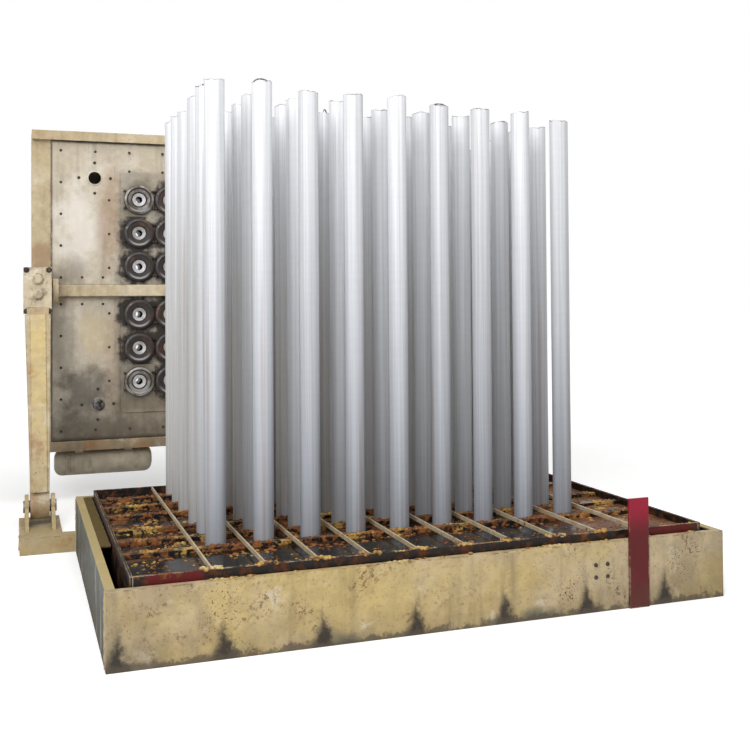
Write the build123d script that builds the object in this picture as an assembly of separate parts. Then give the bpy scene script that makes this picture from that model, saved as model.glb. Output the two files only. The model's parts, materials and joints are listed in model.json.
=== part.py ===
from build123d import *
import os
from math import atan2, cos, degrees, hypot, radians, sin

# A tilting-table billet casting machine, standing on its floor.
# Millimetres.  X runs along the pit mouth, Y from its front to its rear, +Z up.
# The origin is the middle of the front beam's underside, on the floor.

# Casting grid: one billet under each mould
column_count = 9
column_pitch = 235.0
row_pitch = 260.0
middle_row_gap = 370.0
rows_per_half = 3
billet_diameter = 100.0
billet_length = 2270.0
billet_length_spread = 12.0
billet_length_fall = 12.0

# Pit-mouth frame of fabricated channels
frame_length = 3000.0
frame_depth = 2250.0
frame_height = 330.0
frame_flange = 40.0
frame_plate = 12.0
rear_row_setback = 194.0
rib_count = 4
cover_length = 1340.0
cover_thickness = 8.0
cover_drop = 6.0
post_width = 110.0
post_height = 530.0
post_thickness = 12.0
post_from_middle = 1003.0

# Platen that carries the billets out of the pit
platen_side_gap = 60.0
platen_end_gap = 10.0
running_gap = 8.0
pad_width = 80.0
pad_height = 110.0
pad_gap = 0.3
pad_drop = 4.0
pad_from_middle = 900.0
deck_thickness = 20.0
edge_thickness = 12.0
edge_height = 170.0
transverse_bar_width = 50.0
transverse_bar_height = 20.0
transverse_bar_lead = 90.0
guide_bar_width = 8.0
guide_bar_height = 20.0
starter_diameter = 80.0
starter_height = 6.0
girder_width = 120.0
girder_height = 180.0
girder_length = 2700.0
girder_spacing = 800.0
girder_plate = 14.0
ram_diameter = 240.0
ram_flange_diameter = 420.0
ram_flange_thickness = 30.0

# Tilting table, standing upright behind the pit
table_width = 3450.0
table_height = 2430.0
table_depth = 300.0
table_middle_height = 1590.0
table_face_setback = 3973.0
end_rail_width = 134.0
rail_wall = 12.0
top_rail_height = 70.0
bottom_rail_height = 75.0
edge_rail_reach = 40.0
mid_rail_height = 57.0
mid_rail_reach = 60.0
panel_thickness = 12.0
side_panel_width = 470.0
port_diameter = 94.0
port_from_rail = 322.0
port_from_top = 278.0
mould_plate_raise = 12.0
mould_plate_margin_x = 139.0
mould_plate_margin_z = 239.0
mould_plate_inner_margin = 140.0
mould_plate_corner = 45.0

# Moulds and the hot-top side of the table
mould_flange_diameter = 228.0
mould_flange_thickness = 24.0
mould_sleeve_diameter = 170.0
mould_clearance = 0.5
mould_bore_extra = 2.0
mould_mouth_chamfer = 7.0
mould_bore_depth = 150.0
throat_diameter = 48.0
pan_hole_diameter = 60.0
tile_thickness = 12.0
tile_joint = 2.0
pan_wall = 15.0
pan_wall_height = 80.0
pan_margin = 120.0
launder_half_width = 65.0
launder_overhang = 100.0
gate_width = 80.0
gate_depth = 50.0
gate_pitch = 700.0
header_diameter = 200.0
header_length = 725.0
header_end_radius = 60.0
header_from_rail = 28.0
saddle_length = 60.0

# Swing arms, their hinge and the trunnions that carry the table
arm_from_middle = 1688.0
arm_foot_width = 120.0
arm_foot_depth = 130.0
arm_head_width = 155.0
arm_head_depth = 160.0
arm_foot_radius = 85.0
hinge_height = 150.0
hinge_pin_diameter = 80.0
pin_clearance = 0.05
trunnion_before_face = 120.0
trunnion_pin_diameter = 90.0
trunnion_block_width = 195.0
trunnion_block_height = 340.0
trunnion_block_front = 163.0
trunnion_block_radius = 108.0
lug_thickness = 40.0
lug_radius = 90.0
lug_gap = 10.0
lowered_face_height = 400.0
cheek_gap = 10.0
cheek_thickness = 25.0
cheek_base = 480.0
cheek_radius = 80.0
bracket_plate = 30.0
bracket_width = 260.0
bracket_tail = 260.0
anchor_hole_diameter = 26.0
anchor_edge = 50.0
cross_beam_depth = 120.0
cross_beam_height = 100.0

# Derived places
front_face_y = -frame_flange / 2
rear_face_y = front_face_y + frame_depth
half_rows = [middle_row_gap / 2 + i * row_pitch for i in range(rows_per_half)]
row_offsets = [-d for d in reversed(half_rows)] + half_rows
grid_middle_y = rear_face_y - rear_row_setback - row_offsets[-1]
column_x = [(i - (column_count - 1) / 2) * column_pitch for i in range(column_count)]
row_y = [grid_middle_y + d for d in row_offsets]
mould_row_z = [table_middle_height - d for d in row_offsets]
table_face_y = table_face_setback
table_back_y = table_face_y + table_depth
inner_x = table_width / 2 - end_rail_width
trunnion_y = table_face_y - trunnion_before_face
back_opening_half = column_x[-1] + pan_margin - pan_wall
launder_half_length = column_x[-1] + pan_margin + launder_overhang


def hinge_y():
    """The foot hinge lies as far from the raised trunnion as from the lowered one."""
    low_y = grid_middle_y
    low_z = lowered_face_height - trunnion_before_face
    mid_y = (trunnion_y + low_y) / 2
    mid_z = (table_middle_height + low_z) / 2
    slope = (table_middle_height - low_z) / (trunnion_y - low_y)
    return mid_y + slope * (mid_z - hinge_height)


arm_foot_y = hinge_y()
arm_length = hypot(trunnion_y - arm_foot_y, table_middle_height - hinge_height)
arm_lean = degrees(atan2(trunnion_y - arm_foot_y, table_middle_height - hinge_height))


def block(x0, x1, y0, y1, z0, z1):
    """A rectangular solid between two opposite corners."""
    return Pos((x0 + x1) / 2, (y0 + y1) / 2, (z0 + z1) / 2) * Box(x1 - x0, y1 - y0, z1 - z0)


def rod_x(x0, x1, y, z, radius):
    """A round bar along X."""
    return Pos((x0 + x1) / 2, y, z) * Rot(0, 90, 0) * Cylinder(radius, x1 - x0)


def both_sides(make):
    """The right-hand solid and its mirror image."""
    right = make()
    return Compound(children=[right.mirror(Plane.YZ), right])


def save(node, shape):
    """Write one node's STEP file."""
    export_step(shape, f"parts/{node}.step")


def end_beam(outer_y, inward):
    """A front or rear channel, web outside, with welded ribs and closed ends."""
    inner_y = outer_y + inward * frame_flange
    web_y = outer_y + inward * frame_plate
    beam = block(-frame_length / 2, frame_length / 2, min(outer_y, inner_y), max(outer_y, inner_y),
                 0, frame_height)
    bay = (frame_length - (rib_count + 2) * frame_plate) / (rib_count + 1)
    for i in range(rib_count + 1):
        x0 = -frame_length / 2 + frame_plate + i * (bay + frame_plate)
        beam -= block(x0, x0 + bay, min(web_y, inner_y), max(web_y, inner_y),
                      frame_plate, frame_height - frame_plate)
    return beam


def side_beam():
    """The right-hand side channel, between the front and rear beams."""
    outer_x = frame_length / 2
    y0 = front_face_y + frame_flange
    y1 = rear_face_y - frame_flange
    beam = block(outer_x - frame_flange, outer_x, y0, y1, 0, frame_height)
    bay = (y1 - y0 - (rib_count + 1) * frame_plate) / rib_count
    for i in range(rib_count):
        ya = y0 + frame_plate + i * (bay + frame_plate)
        beam -= block(outer_x - frame_flange, outer_x - frame_plate, ya, ya + bay,
                      frame_plate, frame_height - frame_plate)
    return beam


def cover_plate():
    """The plate that closes the rear half of the slot beside the platen."""
    wall_x = frame_length / 2 - frame_flange
    top = frame_height - cover_drop
    y1 = rear_face_y - frame_flange
    return block(wall_x - platen_side_gap + running_gap, wall_x, y1 - cover_length, y1,
                 top - cover_thickness, top)


def red_post():
    """The upright flat bar on the front beam's face."""
    return block(post_from_middle - post_width / 2, post_from_middle + post_width / 2,
                 front_face_y - post_thickness, front_face_y, 0, post_height)


def hinge_cross_beam():
    """The low beam behind the pit frame that ties both hinge brackets to it."""
    half = arm_from_middle + bracket_width / 2
    return block(-half, half, rear_face_y, rear_face_y + cross_beam_depth, 0, cross_beam_height)


def hinge_bracket():
    """The right-hand bracket: base plate and two cheeks around the arm's foot."""
    base = block(arm_from_middle - bracket_width / 2, arm_from_middle + bracket_width / 2,
                 rear_face_y + cross_beam_depth, arm_foot_y + bracket_tail, 0, bracket_plate)
    profile = Plane.YZ * Polygon((arm_foot_y - cheek_base / 2, bracket_plate),
                                 (arm_foot_y + cheek_base / 2, bracket_plate),
                                 (arm_foot_y + cheek_radius, hinge_height),
                                 (arm_foot_y - cheek_radius, hinge_height), align=None)
    inner = arm_foot_width / 2 + cheek_gap
    bracket = base
    for x0 in (arm_from_middle - inner - cheek_thickness, arm_from_middle + inner):
        cheek = Pos(x0, 0, 0) * extrude(profile, cheek_thickness, dir=(1, 0, 0))
        cheek += rod_x(x0, x0 + cheek_thickness, arm_foot_y, hinge_height, cheek_radius)
        bracket += cheek
    reach = inner + cheek_thickness
    bracket -= rod_x(arm_from_middle - reach, arm_from_middle + reach, arm_foot_y,
                     hinge_height, hinge_pin_diameter / 2 + pin_clearance)
    for side in (-1, 1):
        x = arm_from_middle + side * (bracket_width / 2 - anchor_edge)
        for y in (rear_face_y + cross_beam_depth + anchor_edge, arm_foot_y + bracket_tail - anchor_edge):
            bracket -= Pos(x, y, bracket_plate / 2) * Cylinder(anchor_hole_diameter / 2, bracket_plate)
    return bracket


def hinge_pin():
    """The right-hand hinge pin through both cheeks."""
    reach = arm_foot_width / 2 + cheek_gap + cheek_thickness + cheek_gap
    return rod_x(arm_from_middle - reach, arm_from_middle + reach, arm_foot_y, hinge_height,
                 hinge_pin_diameter / 2)


def trunnion_block():
    """The right-hand bearing block at the arm's head."""
    x0 = arm_from_middle - trunnion_block_width / 2
    x1 = arm_from_middle + trunnion_block_width / 2
    z = table_middle_height
    head = block(x0, x1, trunnion_y - trunnion_block_front, trunnion_y,
                 z - trunnion_block_height / 2, z + trunnion_block_height / 2)
    head += rod_x(x0, x1, trunnion_y, z, trunnion_block_radius)
    return head - rod_x(x0, x1, trunnion_y, z, trunnion_pin_diameter / 2 + pin_clearance)


def swing_arm():
    """The right-hand arm, tapering from the trunnion block down to its foot."""
    axis = Vector(0, sin(radians(arm_lean)), cos(radians(arm_lean)))
    foot = Vector(arm_from_middle, arm_foot_y, hinge_height)
    head = foot + axis * arm_length
    low = Plane(origin=foot, x_dir=(1, 0, 0), z_dir=axis) * Rectangle(arm_foot_width, arm_foot_depth)
    high = Plane(origin=head, x_dir=(1, 0, 0), z_dir=axis) * Rectangle(arm_head_width, arm_head_depth)
    arm = loft([low.face(), high.face()])
    x0 = arm_from_middle - arm_foot_width / 2
    x1 = arm_from_middle + arm_foot_width / 2
    arm += rod_x(x0, x1, arm_foot_y, hinge_height, arm_foot_radius)
    arm -= rod_x(x0 - cheek_gap, x1 + cheek_gap, arm_foot_y, hinge_height,
                 hinge_pin_diameter / 2 + pin_clearance)
    head_space = block(arm_from_middle - arm_head_width, arm_from_middle + arm_head_width,
                       trunnion_y - trunnion_block_front, trunnion_y,
                       table_middle_height - trunnion_block_height / 2,
                       table_middle_height + trunnion_block_height / 2)
    head_space += rod_x(arm_from_middle - arm_head_width, arm_from_middle + arm_head_width,
                        trunnion_y, table_middle_height, trunnion_block_radius)
    return (arm - head_space).solids().sort_by(SortBy.VOLUME)[-1]


def end_rail():
    """The right-hand hollow end member of the table."""
    z0 = table_middle_height - table_height / 2 + bottom_rail_height
    z1 = table_middle_height + table_height / 2 - top_rail_height
    rail = block(inner_x, table_width / 2, table_face_y, table_back_y, z0, z1)
    return rail - block(inner_x + rail_wall, table_width / 2 - rail_wall,
                        table_face_y + rail_wall, table_back_y - rail_wall, z0, z1)


def edge_rail(z0, z1, open_side):
    """The top or bottom channel, its flanges pointing into the table."""
    half = table_width / 2
    rail = block(-half, half, table_face_y - edge_rail_reach, table_back_y, z0, z1)
    pocket0 = z0 if open_side < 0 else z0 + rail_wall
    pocket1 = z1 if open_side > 0 else z1 - rail_wall
    return rail - block(-inner_x + rail_wall, inner_x - rail_wall,
                        table_face_y - edge_rail_reach + rail_wall, table_back_y - rail_wall,
                        pocket0, pocket1)


def mid_rail():
    """The rail between the two mould plates, with the trunnion lugs on its ends."""
    z = table_middle_height
    z0, z1 = z - mid_rail_height / 2, z + mid_rail_height / 2
    block_x = arm_from_middle - trunnion_block_width / 2
    rail = block(-inner_x, inner_x, table_face_y, table_face_y + panel_thickness, z0, z1)
    rail += block(lug_gap - block_x, block_x - lug_gap, table_face_y - mid_rail_reach, table_face_y,
                  z0, z1)
    for side in (-1, 1):
        xa = side * (block_x - lug_gap)
        xb = side * (block_x - lug_gap - lug_thickness)
        x0, x1 = min(xa, xb), max(xa, xb)
        lug = block(x0, x1, trunnion_y, table_face_y, z - lug_radius, z + lug_radius)
        lug += rod_x(x0, x1, trunnion_y, z, lug_radius)
        lug -= rod_x(x0, x1, trunnion_y, z, trunnion_pin_diameter / 2 + pin_clearance)
        rail += lug
    return rail


def trunnion_pin():
    """The right-hand trunnion pin, from the lug out through the block."""
    block_x = arm_from_middle - trunnion_block_width / 2
    return rod_x(block_x - lug_gap - lug_thickness, arm_from_middle + trunnion_block_width / 2,
                 trunnion_y, table_middle_height, trunnion_pin_diameter / 2)


def half_bounds(upper):
    """Lowest and highest Z of the upper or lower half between the rails."""
    if upper:
        return (table_middle_height + mid_rail_height / 2,
                table_middle_height + table_height / 2 - top_rail_height)
    return (table_middle_height - table_height / 2 + bottom_rail_height,
            table_middle_height - mid_rail_height / 2)


def half_row_z(upper):
    """Heights of the three mould rows in one half."""
    return [z for z in mould_row_z if (z > table_middle_height) == upper]


def side_panel(upper):
    """The right-hand plain panel beside a mould plate; the upper one has a round port."""
    z0, z1 = half_bounds(upper)
    panel = block(inner_x - side_panel_width, inner_x, table_face_y, table_face_y + panel_thickness,
                  z0, z1)
    if upper:
        panel -= (Pos(inner_x - port_from_rail, table_face_y, z1 - port_from_top) * Rot(90, 0, 0)
                  * Cylinder(port_diameter / 2, 4 * panel_thickness))
    return panel


def mould_plate(upper):
    """A panel with a raised, round-cornered field and one hole per mould."""
    z0, z1 = half_bounds(upper)
    half = inner_x - side_panel_width
    plate = block(-half, half, table_face_y, table_face_y + panel_thickness, z0, z1)
    rows = half_row_z(upper)
    inner = mould_plate_inner_margin
    outer = mould_plate_margin_z
    low = min(rows) - (inner if upper else outer)
    high = max(rows) + (outer if upper else inner)
    low = max(low, z0)
    high = min(high, z1)
    field_half = column_x[-1] + mould_plate_margin_x
    field = block(-field_half, field_half, table_face_y - mould_plate_raise, table_face_y, low, high)
    field = fillet(field.edges().filter_by(Axis.Y), mould_plate_corner)
    plate += field
    hole = mould_sleeve_diameter / 2 + mould_clearance
    for z in rows:
        for x in column_x:
            plate -= Pos(x, table_face_y, z) * Rot(90, 0, 0) * Cylinder(hole, 4 * panel_thickness)
    return plate


def mould():
    """One mould at the origin, mouth towards -Y: flange, sleeve, bore and hot-top throat."""
    bore = billet_diameter / 2 + mould_bore_extra / 2
    mouth = bore + mould_mouth_chamfer
    length = mould_flange_thickness + mould_plate_raise + table_depth
    flange = mould_flange_diameter / 2
    sleeve = mould_sleeve_diameter / 2
    throat = throat_diameter / 2
    profile = Plane.XY * Polygon((mouth, 0), (flange, 0), (flange, mould_flange_thickness),
                                 (sleeve, mould_flange_thickness), (sleeve, length), (throat, length),
                                 (throat, mould_bore_depth), (bore, mould_bore_depth),
                                 (bore, mould_mouth_chamfer), align=None)
    return revolve(profile, Axis.Y)


def mould_row(z):
    """One row of moulds on its plate."""
    front = table_face_y - mould_plate_raise - mould_flange_thickness
    one = mould()
    return Compound(children=[Pos(x, front, z) * one for x in column_x])


def back_cover():
    """The right-hand cover on the hot-top side."""
    z0 = table_middle_height - table_height / 2 + bottom_rail_height
    z1 = table_middle_height + table_height / 2 - top_rail_height
    return block(back_opening_half, inner_x, table_back_y - panel_thickness, table_back_y, z0, z1)


def back_strip(upper):
    """The strip between a pan and the top or bottom rail; the pan's outer wall seats on it."""
    pan_seat = pan_bounds(upper)[1] - (pan_wall if upper else -pan_wall)
    rail = half_bounds(upper)[1 if upper else 0]
    return block(-back_opening_half, back_opening_half, table_back_y - panel_thickness, table_back_y,
                 min(pan_seat, rail), max(pan_seat, rail))


def pan_bounds(upper):
    """Near and far edge of one half's hot-top pan, from the launder outwards."""
    side = 1 if upper else -1
    rows = half_row_z(upper)
    return (table_middle_height + side * launder_half_width,
            rows[0 if upper else -1] + side * pan_margin)


def hot_top_pan(upper):
    """The walls of a metal-distribution pan over one half's moulds, with gates to the launder."""
    near, far = pan_bounds(upper)
    z0, z1 = min(near, far), max(near, far)
    half = column_x[-1] + pan_margin
    y0 = table_back_y + tile_thickness
    y1 = y0 + pan_wall_height
    pan = block(-half, half, y0, y1, z0, z1)
    pan -= block(-half + pan_wall, half - pan_wall, y0, y1, z0 + pan_wall, z1 - pan_wall)
    for x in (-gate_pitch, 0, gate_pitch):
        pan -= block(x - gate_width / 2, x + gate_width / 2, y1 - gate_depth, y1,
                     near - pan_wall, near + pan_wall)
    return pan


def pan_tiles(upper):
    """The pan's floor: one pierced tile on the back of every mould."""
    near, far = pan_bounds(upper)
    rows = sorted(half_row_z(upper))
    half = column_x[-1] + pan_margin
    x_cuts = [-half] + [(a + b) / 2 for a, b in zip(column_x, column_x[1:])] + [half]
    z_cuts = [min(near, far)] + [(a + b) / 2 for a, b in zip(rows, rows[1:])] + [max(near, far)]
    gap = tile_joint / 2
    tiles = []
    for x, x0, x1 in zip(column_x, x_cuts, x_cuts[1:]):
        for z, z0, z1 in zip(rows, z_cuts, z_cuts[1:]):
            tile = block(x0 + gap, x1 - gap, table_back_y, table_back_y + tile_thickness,
                         z0 + gap, z1 - gap)
            tile -= (Pos(x, table_back_y + tile_thickness / 2, z) * Rot(90, 0, 0)
                     * Cylinder(pan_hole_diameter / 2, tile_thickness))
            tiles.append(tile)
    return Compound(children=tiles)


def launder_floor():
    """The floor board of the trough between the pans."""
    return block(-launder_half_length, launder_half_length, table_back_y,
                 table_back_y + tile_thickness, table_middle_height - launder_half_width,
                 table_middle_height + launder_half_width)


def main_launder():
    """The trough's two long boards on its floor, with a gate into each pan at three places."""
    y0 = table_back_y + tile_thickness
    y1 = y0 + pan_wall_height
    boards = []
    for side in (-1, 1):
        outer = table_middle_height + side * launder_half_width
        inner = outer - side * pan_wall
        z0, z1 = min(outer, inner), max(outer, inner)
        board = block(-launder_half_length, launder_half_length, y0, y1, z0, z1)
        for x in (-gate_pitch, 0, gate_pitch):
            board -= block(x - gate_width / 2, x + gate_width / 2, y1 - gate_depth, y1, z0, z1)
        boards.append(board)
    return Compound(children=boards)


def launder_ends():
    """The trough's two end boards, between its long ones."""
    y0 = table_back_y + tile_thickness
    inner = launder_half_width - pan_wall
    boards = [block(x, x + pan_wall, y0, y0 + pan_wall_height, table_middle_height - inner,
                    table_middle_height + inner)
              for x in (-launder_half_length, launder_half_length - pan_wall)]
    return Compound(children=boards)


def water_header():
    """The right-hand round-ended water drum under the bottom rail."""
    z = table_middle_height - table_height / 2 - header_diameter / 2
    y = table_face_y + header_diameter / 2
    x1 = inner_x - header_from_rail
    x0 = x1 - header_length
    drum = rod_x(x0, x1, y, z, header_diameter / 2)
    drum = fillet(drum.edges().filter_by(GeomType.CIRCLE), header_end_radius)
    for x in (x0 + header_length / 4, x1 - header_length / 4):
        drum += block(x - saddle_length / 2, x + saddle_length / 2, y - header_diameter / 3,
                      y + header_diameter / 3, z, z + header_diameter / 2)
    return drum


platen_half_x = frame_length / 2 - frame_flange - platen_side_gap
platen_y0 = front_face_y + frame_flange + platen_end_gap
platen_y1 = rear_face_y - frame_flange - platen_end_gap
deck_top = frame_height
bars_top = deck_top + transverse_bar_height + guide_bar_height


def platen_deck():
    """The platen's top plate."""
    return block(-platen_half_x + edge_thickness, platen_half_x - edge_thickness,
                 platen_y0 + edge_thickness, platen_y1 - edge_thickness,
                 deck_top - deck_thickness, deck_top)


def starter_blocks():
    """One starter disc under each billet."""
    discs = []
    for y in row_y:
        for x in column_x:
            discs.append(Pos(x, y, deck_top + starter_height / 2)
                         * Cylinder(starter_diameter / 2, starter_height))
    return Compound(children=discs)


def platen_side_edge():
    """The right-hand upright plate along the platen."""
    return block(platen_half_x - edge_thickness, platen_half_x, platen_y0, platen_y1,
                 bars_top - edge_height, bars_top)


def platen_end_edges():
    """The front and rear upright plates, with the wear pads that run on the frame."""
    half = platen_half_x - edge_thickness
    low = bars_top - edge_height
    pad_top = frame_height - pad_drop
    reach = platen_end_gap - pad_gap
    front = block(-half, half, platen_y0, platen_y0 + edge_thickness, low, bars_top)
    rear = block(-half, half, platen_y1 - edge_thickness, platen_y1, low, bars_top)
    for x in (-pad_from_middle, pad_from_middle):
        x0, x1 = x - pad_width / 2, x + pad_width / 2
        front += block(x0, x1, platen_y0 - reach, platen_y0, pad_top - pad_height, pad_top)
        rear += block(x0, x1, platen_y1, platen_y1 + reach, pad_top - pad_height, pad_top)
    return Compound(children=[front, rear])


def transverse_bars():
    """A flat bar across the platen in front of each billet row."""
    half = platen_half_x - edge_thickness
    bars = []
    for y in row_y:
        y_mid = y - transverse_bar_lead
        bars.append(block(-half, half, y_mid - transverse_bar_width / 2,
                          y_mid + transverse_bar_width / 2, deck_top,
                          deck_top + transverse_bar_height))
    return Compound(children=bars)


def guide_bars():
    """Thin bars on the transverse ones, one each side of every billet column."""
    z0 = deck_top + transverse_bar_height
    bars = []
    for i in range(column_count + 1):
        x = column_x[0] + (i - 0.5) * column_pitch
        bars.append(block(x - guide_bar_width / 2, x + guide_bar_width / 2,
                          platen_y0 + edge_thickness, platen_y1 - edge_thickness, z0, bars_top))
    return Compound(children=bars)


def billet_row(number):
    """One row of standing billets, a little uneven and shorter towards the right-hand end."""
    billets = []
    z0 = deck_top + starter_height
    for i, x in enumerate(column_x):
        uneven = sin(2.1 * i + 1.7 * number) * billet_length_spread
        length = billet_length - i * billet_length_fall + uneven
        billets.append(Pos(x, row_y[number], z0 + length / 2) * Cylinder(billet_diameter / 2, length))
    return Compound(children=billets)


def platen_girders():
    """Two channels under the deck, either side of the ram."""
    z1 = deck_top - deck_thickness
    girders = []
    for side in (-1, 1):
        y = grid_middle_y + side * girder_spacing / 2
        beam = block(-girder_length / 2, girder_length / 2, y - girder_width / 2,
                     y + girder_width / 2, z1 - girder_height, z1)
        beam -= block(-girder_length / 2, girder_length / 2,
                      min(y + side * girder_width / 2, y - side * (girder_width / 2 - girder_plate)),
                      max(y + side * girder_width / 2, y - side * (girder_width / 2 - girder_plate)),
                      z1 - girder_height + girder_plate, z1 - girder_plate)
        girders.append(beam)
    return Compound(children=girders)


def lift_ram():
    """The ram under the platen, down to the floor line of the pit."""
    z1 = deck_top - deck_thickness
    ram = Pos(0, grid_middle_y, z1 / 2) * Cylinder(ram_diameter / 2, z1)
    ram += Pos(0, grid_middle_y, z1 - ram_flange_thickness / 2) * Cylinder(ram_flange_diameter / 2,
                                                                        ram_flange_thickness)
    return ram


os.makedirs("parts", exist_ok=True)
right_side = side_beam()
save("front_beam", end_beam(front_face_y, 1))
save("rear_beam", end_beam(rear_face_y, -1))
save("right_beam", right_side)
save("left_beam", right_side.mirror(Plane.YZ))
save("cover_plates", both_sides(cover_plate))
save("red_post", red_post())
save("hinge_cross_beam", hinge_cross_beam())
save("right_hinge_bracket", hinge_bracket())
save("left_hinge_bracket", hinge_bracket().mirror(Plane.YZ))
save("hinge_pins", both_sides(hinge_pin))

save("right_arm", swing_arm())
save("left_arm", swing_arm().mirror(Plane.YZ))
save("trunnion_blocks", both_sides(trunnion_block))

save("right_end_rail", end_rail())
save("left_end_rail", end_rail().mirror(Plane.YZ))
table_top = table_middle_height + table_height / 2
table_bottom = table_middle_height - table_height / 2
save("top_rail", edge_rail(table_top - top_rail_height, table_top, -1))
save("bottom_rail", edge_rail(table_bottom, table_bottom + bottom_rail_height, 1))
save("mid_rail", mid_rail())
save("trunnion_pins", both_sides(trunnion_pin))
save("upper_side_panels", both_sides(lambda: side_panel(True)))
save("lower_side_panels", both_sides(lambda: side_panel(False)))
save("upper_mould_plate", mould_plate(True))
save("lower_mould_plate", mould_plate(False))
for number, z in enumerate(mould_row_z):
    save(f"mould_row_{number + 1}", mould_row(z))
save("back_covers", both_sides(back_cover))
save("back_strips", Compound(children=[back_strip(True), back_strip(False)]))
save("upper_pan_tiles", pan_tiles(True))
save("lower_pan_tiles", pan_tiles(False))
save("upper_hot_top_pan", hot_top_pan(True))
save("lower_hot_top_pan", hot_top_pan(False))
save("launder_floor", launder_floor())
save("main_launder", main_launder())
save("launder_ends", launder_ends())
save("water_headers", both_sides(water_header))

save("platen_deck", platen_deck())
save("starter_blocks", starter_blocks())
save("platen_side_edges", both_sides(platen_side_edge))
save("platen_end_edges", platen_end_edges())
save("transverse_bars", transverse_bars())
save("guide_bars", guide_bars())
for number in range(len(row_y)):
    save(f"billet_row_{number + 1}", billet_row(number))
save("platen_girders", platen_girders())
save("lift_ram", lift_ram())
print("arm foot y", round(arm_foot_y, 2), "length", round(arm_length, 2), "lean", round(arm_lean, 3))
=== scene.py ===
"""Finishes and small pieces of a tilting-table billet casting machine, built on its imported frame."""
import json
from math import cos, pi, radians, sin

import bmesh
import bpy
from mathutils import Matrix, Vector


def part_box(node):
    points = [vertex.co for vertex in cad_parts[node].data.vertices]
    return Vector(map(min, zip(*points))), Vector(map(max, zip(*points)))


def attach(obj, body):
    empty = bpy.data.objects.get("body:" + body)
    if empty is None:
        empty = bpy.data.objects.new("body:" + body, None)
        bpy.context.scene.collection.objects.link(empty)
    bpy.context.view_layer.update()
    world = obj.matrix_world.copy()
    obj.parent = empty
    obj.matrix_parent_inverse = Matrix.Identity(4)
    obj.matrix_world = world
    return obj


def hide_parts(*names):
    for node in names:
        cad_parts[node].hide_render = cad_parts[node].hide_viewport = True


bl_info = {
    "name": "Billet Casting Machine",
    "version": (1, 0, 0),
    "blender": (4, 5, 0),
    "location": "3D View > Sidebar > Casting",
    "description": "Dresses the frame of a tilting-table billet casting machine",
    "category": "Add Mesh",
}

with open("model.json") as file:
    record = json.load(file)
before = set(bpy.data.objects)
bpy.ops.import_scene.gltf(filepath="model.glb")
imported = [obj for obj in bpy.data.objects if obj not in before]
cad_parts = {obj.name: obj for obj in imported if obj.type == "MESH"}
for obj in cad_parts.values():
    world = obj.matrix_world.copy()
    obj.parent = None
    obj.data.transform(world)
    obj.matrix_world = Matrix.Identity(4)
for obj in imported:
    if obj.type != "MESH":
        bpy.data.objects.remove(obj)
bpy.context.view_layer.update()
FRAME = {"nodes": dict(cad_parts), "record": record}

# The photograph's camera: the region of it that the render shows, and its lens, in pixels
PHOTO_LEFT = 20.0
PHOTO_TOP = 391.0
PHOTO_SPAN = 394.0
PHOTO_FOCAL = 555.3
PHOTO_CENTRE = (236.6, 536.7)
CAMERA_PLACE = (-1.843, -4.489, 1.510)
CAMERA_YAW = radians(20.60)
CAMERA_PITCH = radians(1.16)
CAMERA_ROLL = radians(-0.42)
SENSOR_WIDTH = 36.0

# Places read from the frame, in metres
TABLE_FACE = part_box("upper_side_panels")[0].y
TABLE_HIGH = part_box("top_rail")[1]
MID_LOW, MID_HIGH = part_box("mid_rail")
MIDDLE_HEIGHT = (MID_LOW.z + MID_HIGH.z) / 2
FIELD_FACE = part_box("upper_mould_plate")[0].y
MOULD_ROWS = [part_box(f"mould_row_{i}") for i in range(1, 7)]
MOULD_RADIUS = (MOULD_ROWS[0][1].z - MOULD_ROWS[0][0].z) / 2
MOULD_FACE = MOULD_ROWS[0][0].y
MOULD_HEIGHTS = [(low.z + high.z) / 2 for low, high in MOULD_ROWS]
ROW_PITCH = MOULD_HEIGHTS[0] - MOULD_HEIGHTS[1]
FIRST_ROW = MOULD_HEIGHTS[2] - MIDDLE_HEIGHT
LAST_ROW = MOULD_HEIGHTS[0] - MIDDLE_HEIGHT
BILLET_ROWS = [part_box(f"billet_row_{i}") for i in range(1, 7)]
BILLET_RADIUS = (BILLET_ROWS[0][1].y - BILLET_ROWS[0][0].y) / 2
COLUMNS = 9
COLUMN_EDGE = BILLET_ROWS[0][1].x - BILLET_RADIUS
COLUMN_PITCH = 2 * COLUMN_EDGE / (COLUMNS - 1)
COLUMN_X = [i * COLUMN_PITCH - COLUMN_EDGE for i in range(COLUMNS)]
DECK_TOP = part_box("platen_deck")[1].z
DECK_MARGIN = 0.03
FRAME_LOW, FRAME_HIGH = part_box("front_beam")
PIT_MIDDLE = (FRAME_LOW.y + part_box("rear_beam")[1].y) / 2
PIT_REACH = PIT_MIDDLE - FRAME_LOW.y
CROSS_BEAM_TOP = 0.1

# Screws: from the panels' edges, down the mould plate, and beside the middle rail
SCREW_INSET = 0.074
PLATE_SCREW_DROP = 0.22
FOOT_SCREW_PITCH = 0.154
# The column of three beside the moulds: its place in pitches, and its start and step
INNER_SCREWS_PLACE, INNER_SCREWS_START, INNER_SCREWS_STEP = 2.3, 0.28, 0.27

# Ports of the side panels, and moulds, from a mould's middle outwards
PORT_PLACE, PLUG_PLACE = (-1.269, TABLE_FACE, 2.457), (-1.248, TABLE_FACE, 0.718)
PORT_BOLTS, PORT_RIM, PORT_HEIGHTS = 0.117, 0.012, (0.006, 0.002)
MOUTH_RADII, MOUTH_HEIGHTS, MOUTH_BACK = (0.026, 0.0505), (-0.008, -0.004), -0.03
DISH_RADII = (0.061, 0.083, 0.095, 0.111)
DISH_HEIGHTS = (0.003, 0.005, 0.014, 0.009)
CLAMP_ACROSS, CLAMP_RISE = 0.107, 0.066

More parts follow.
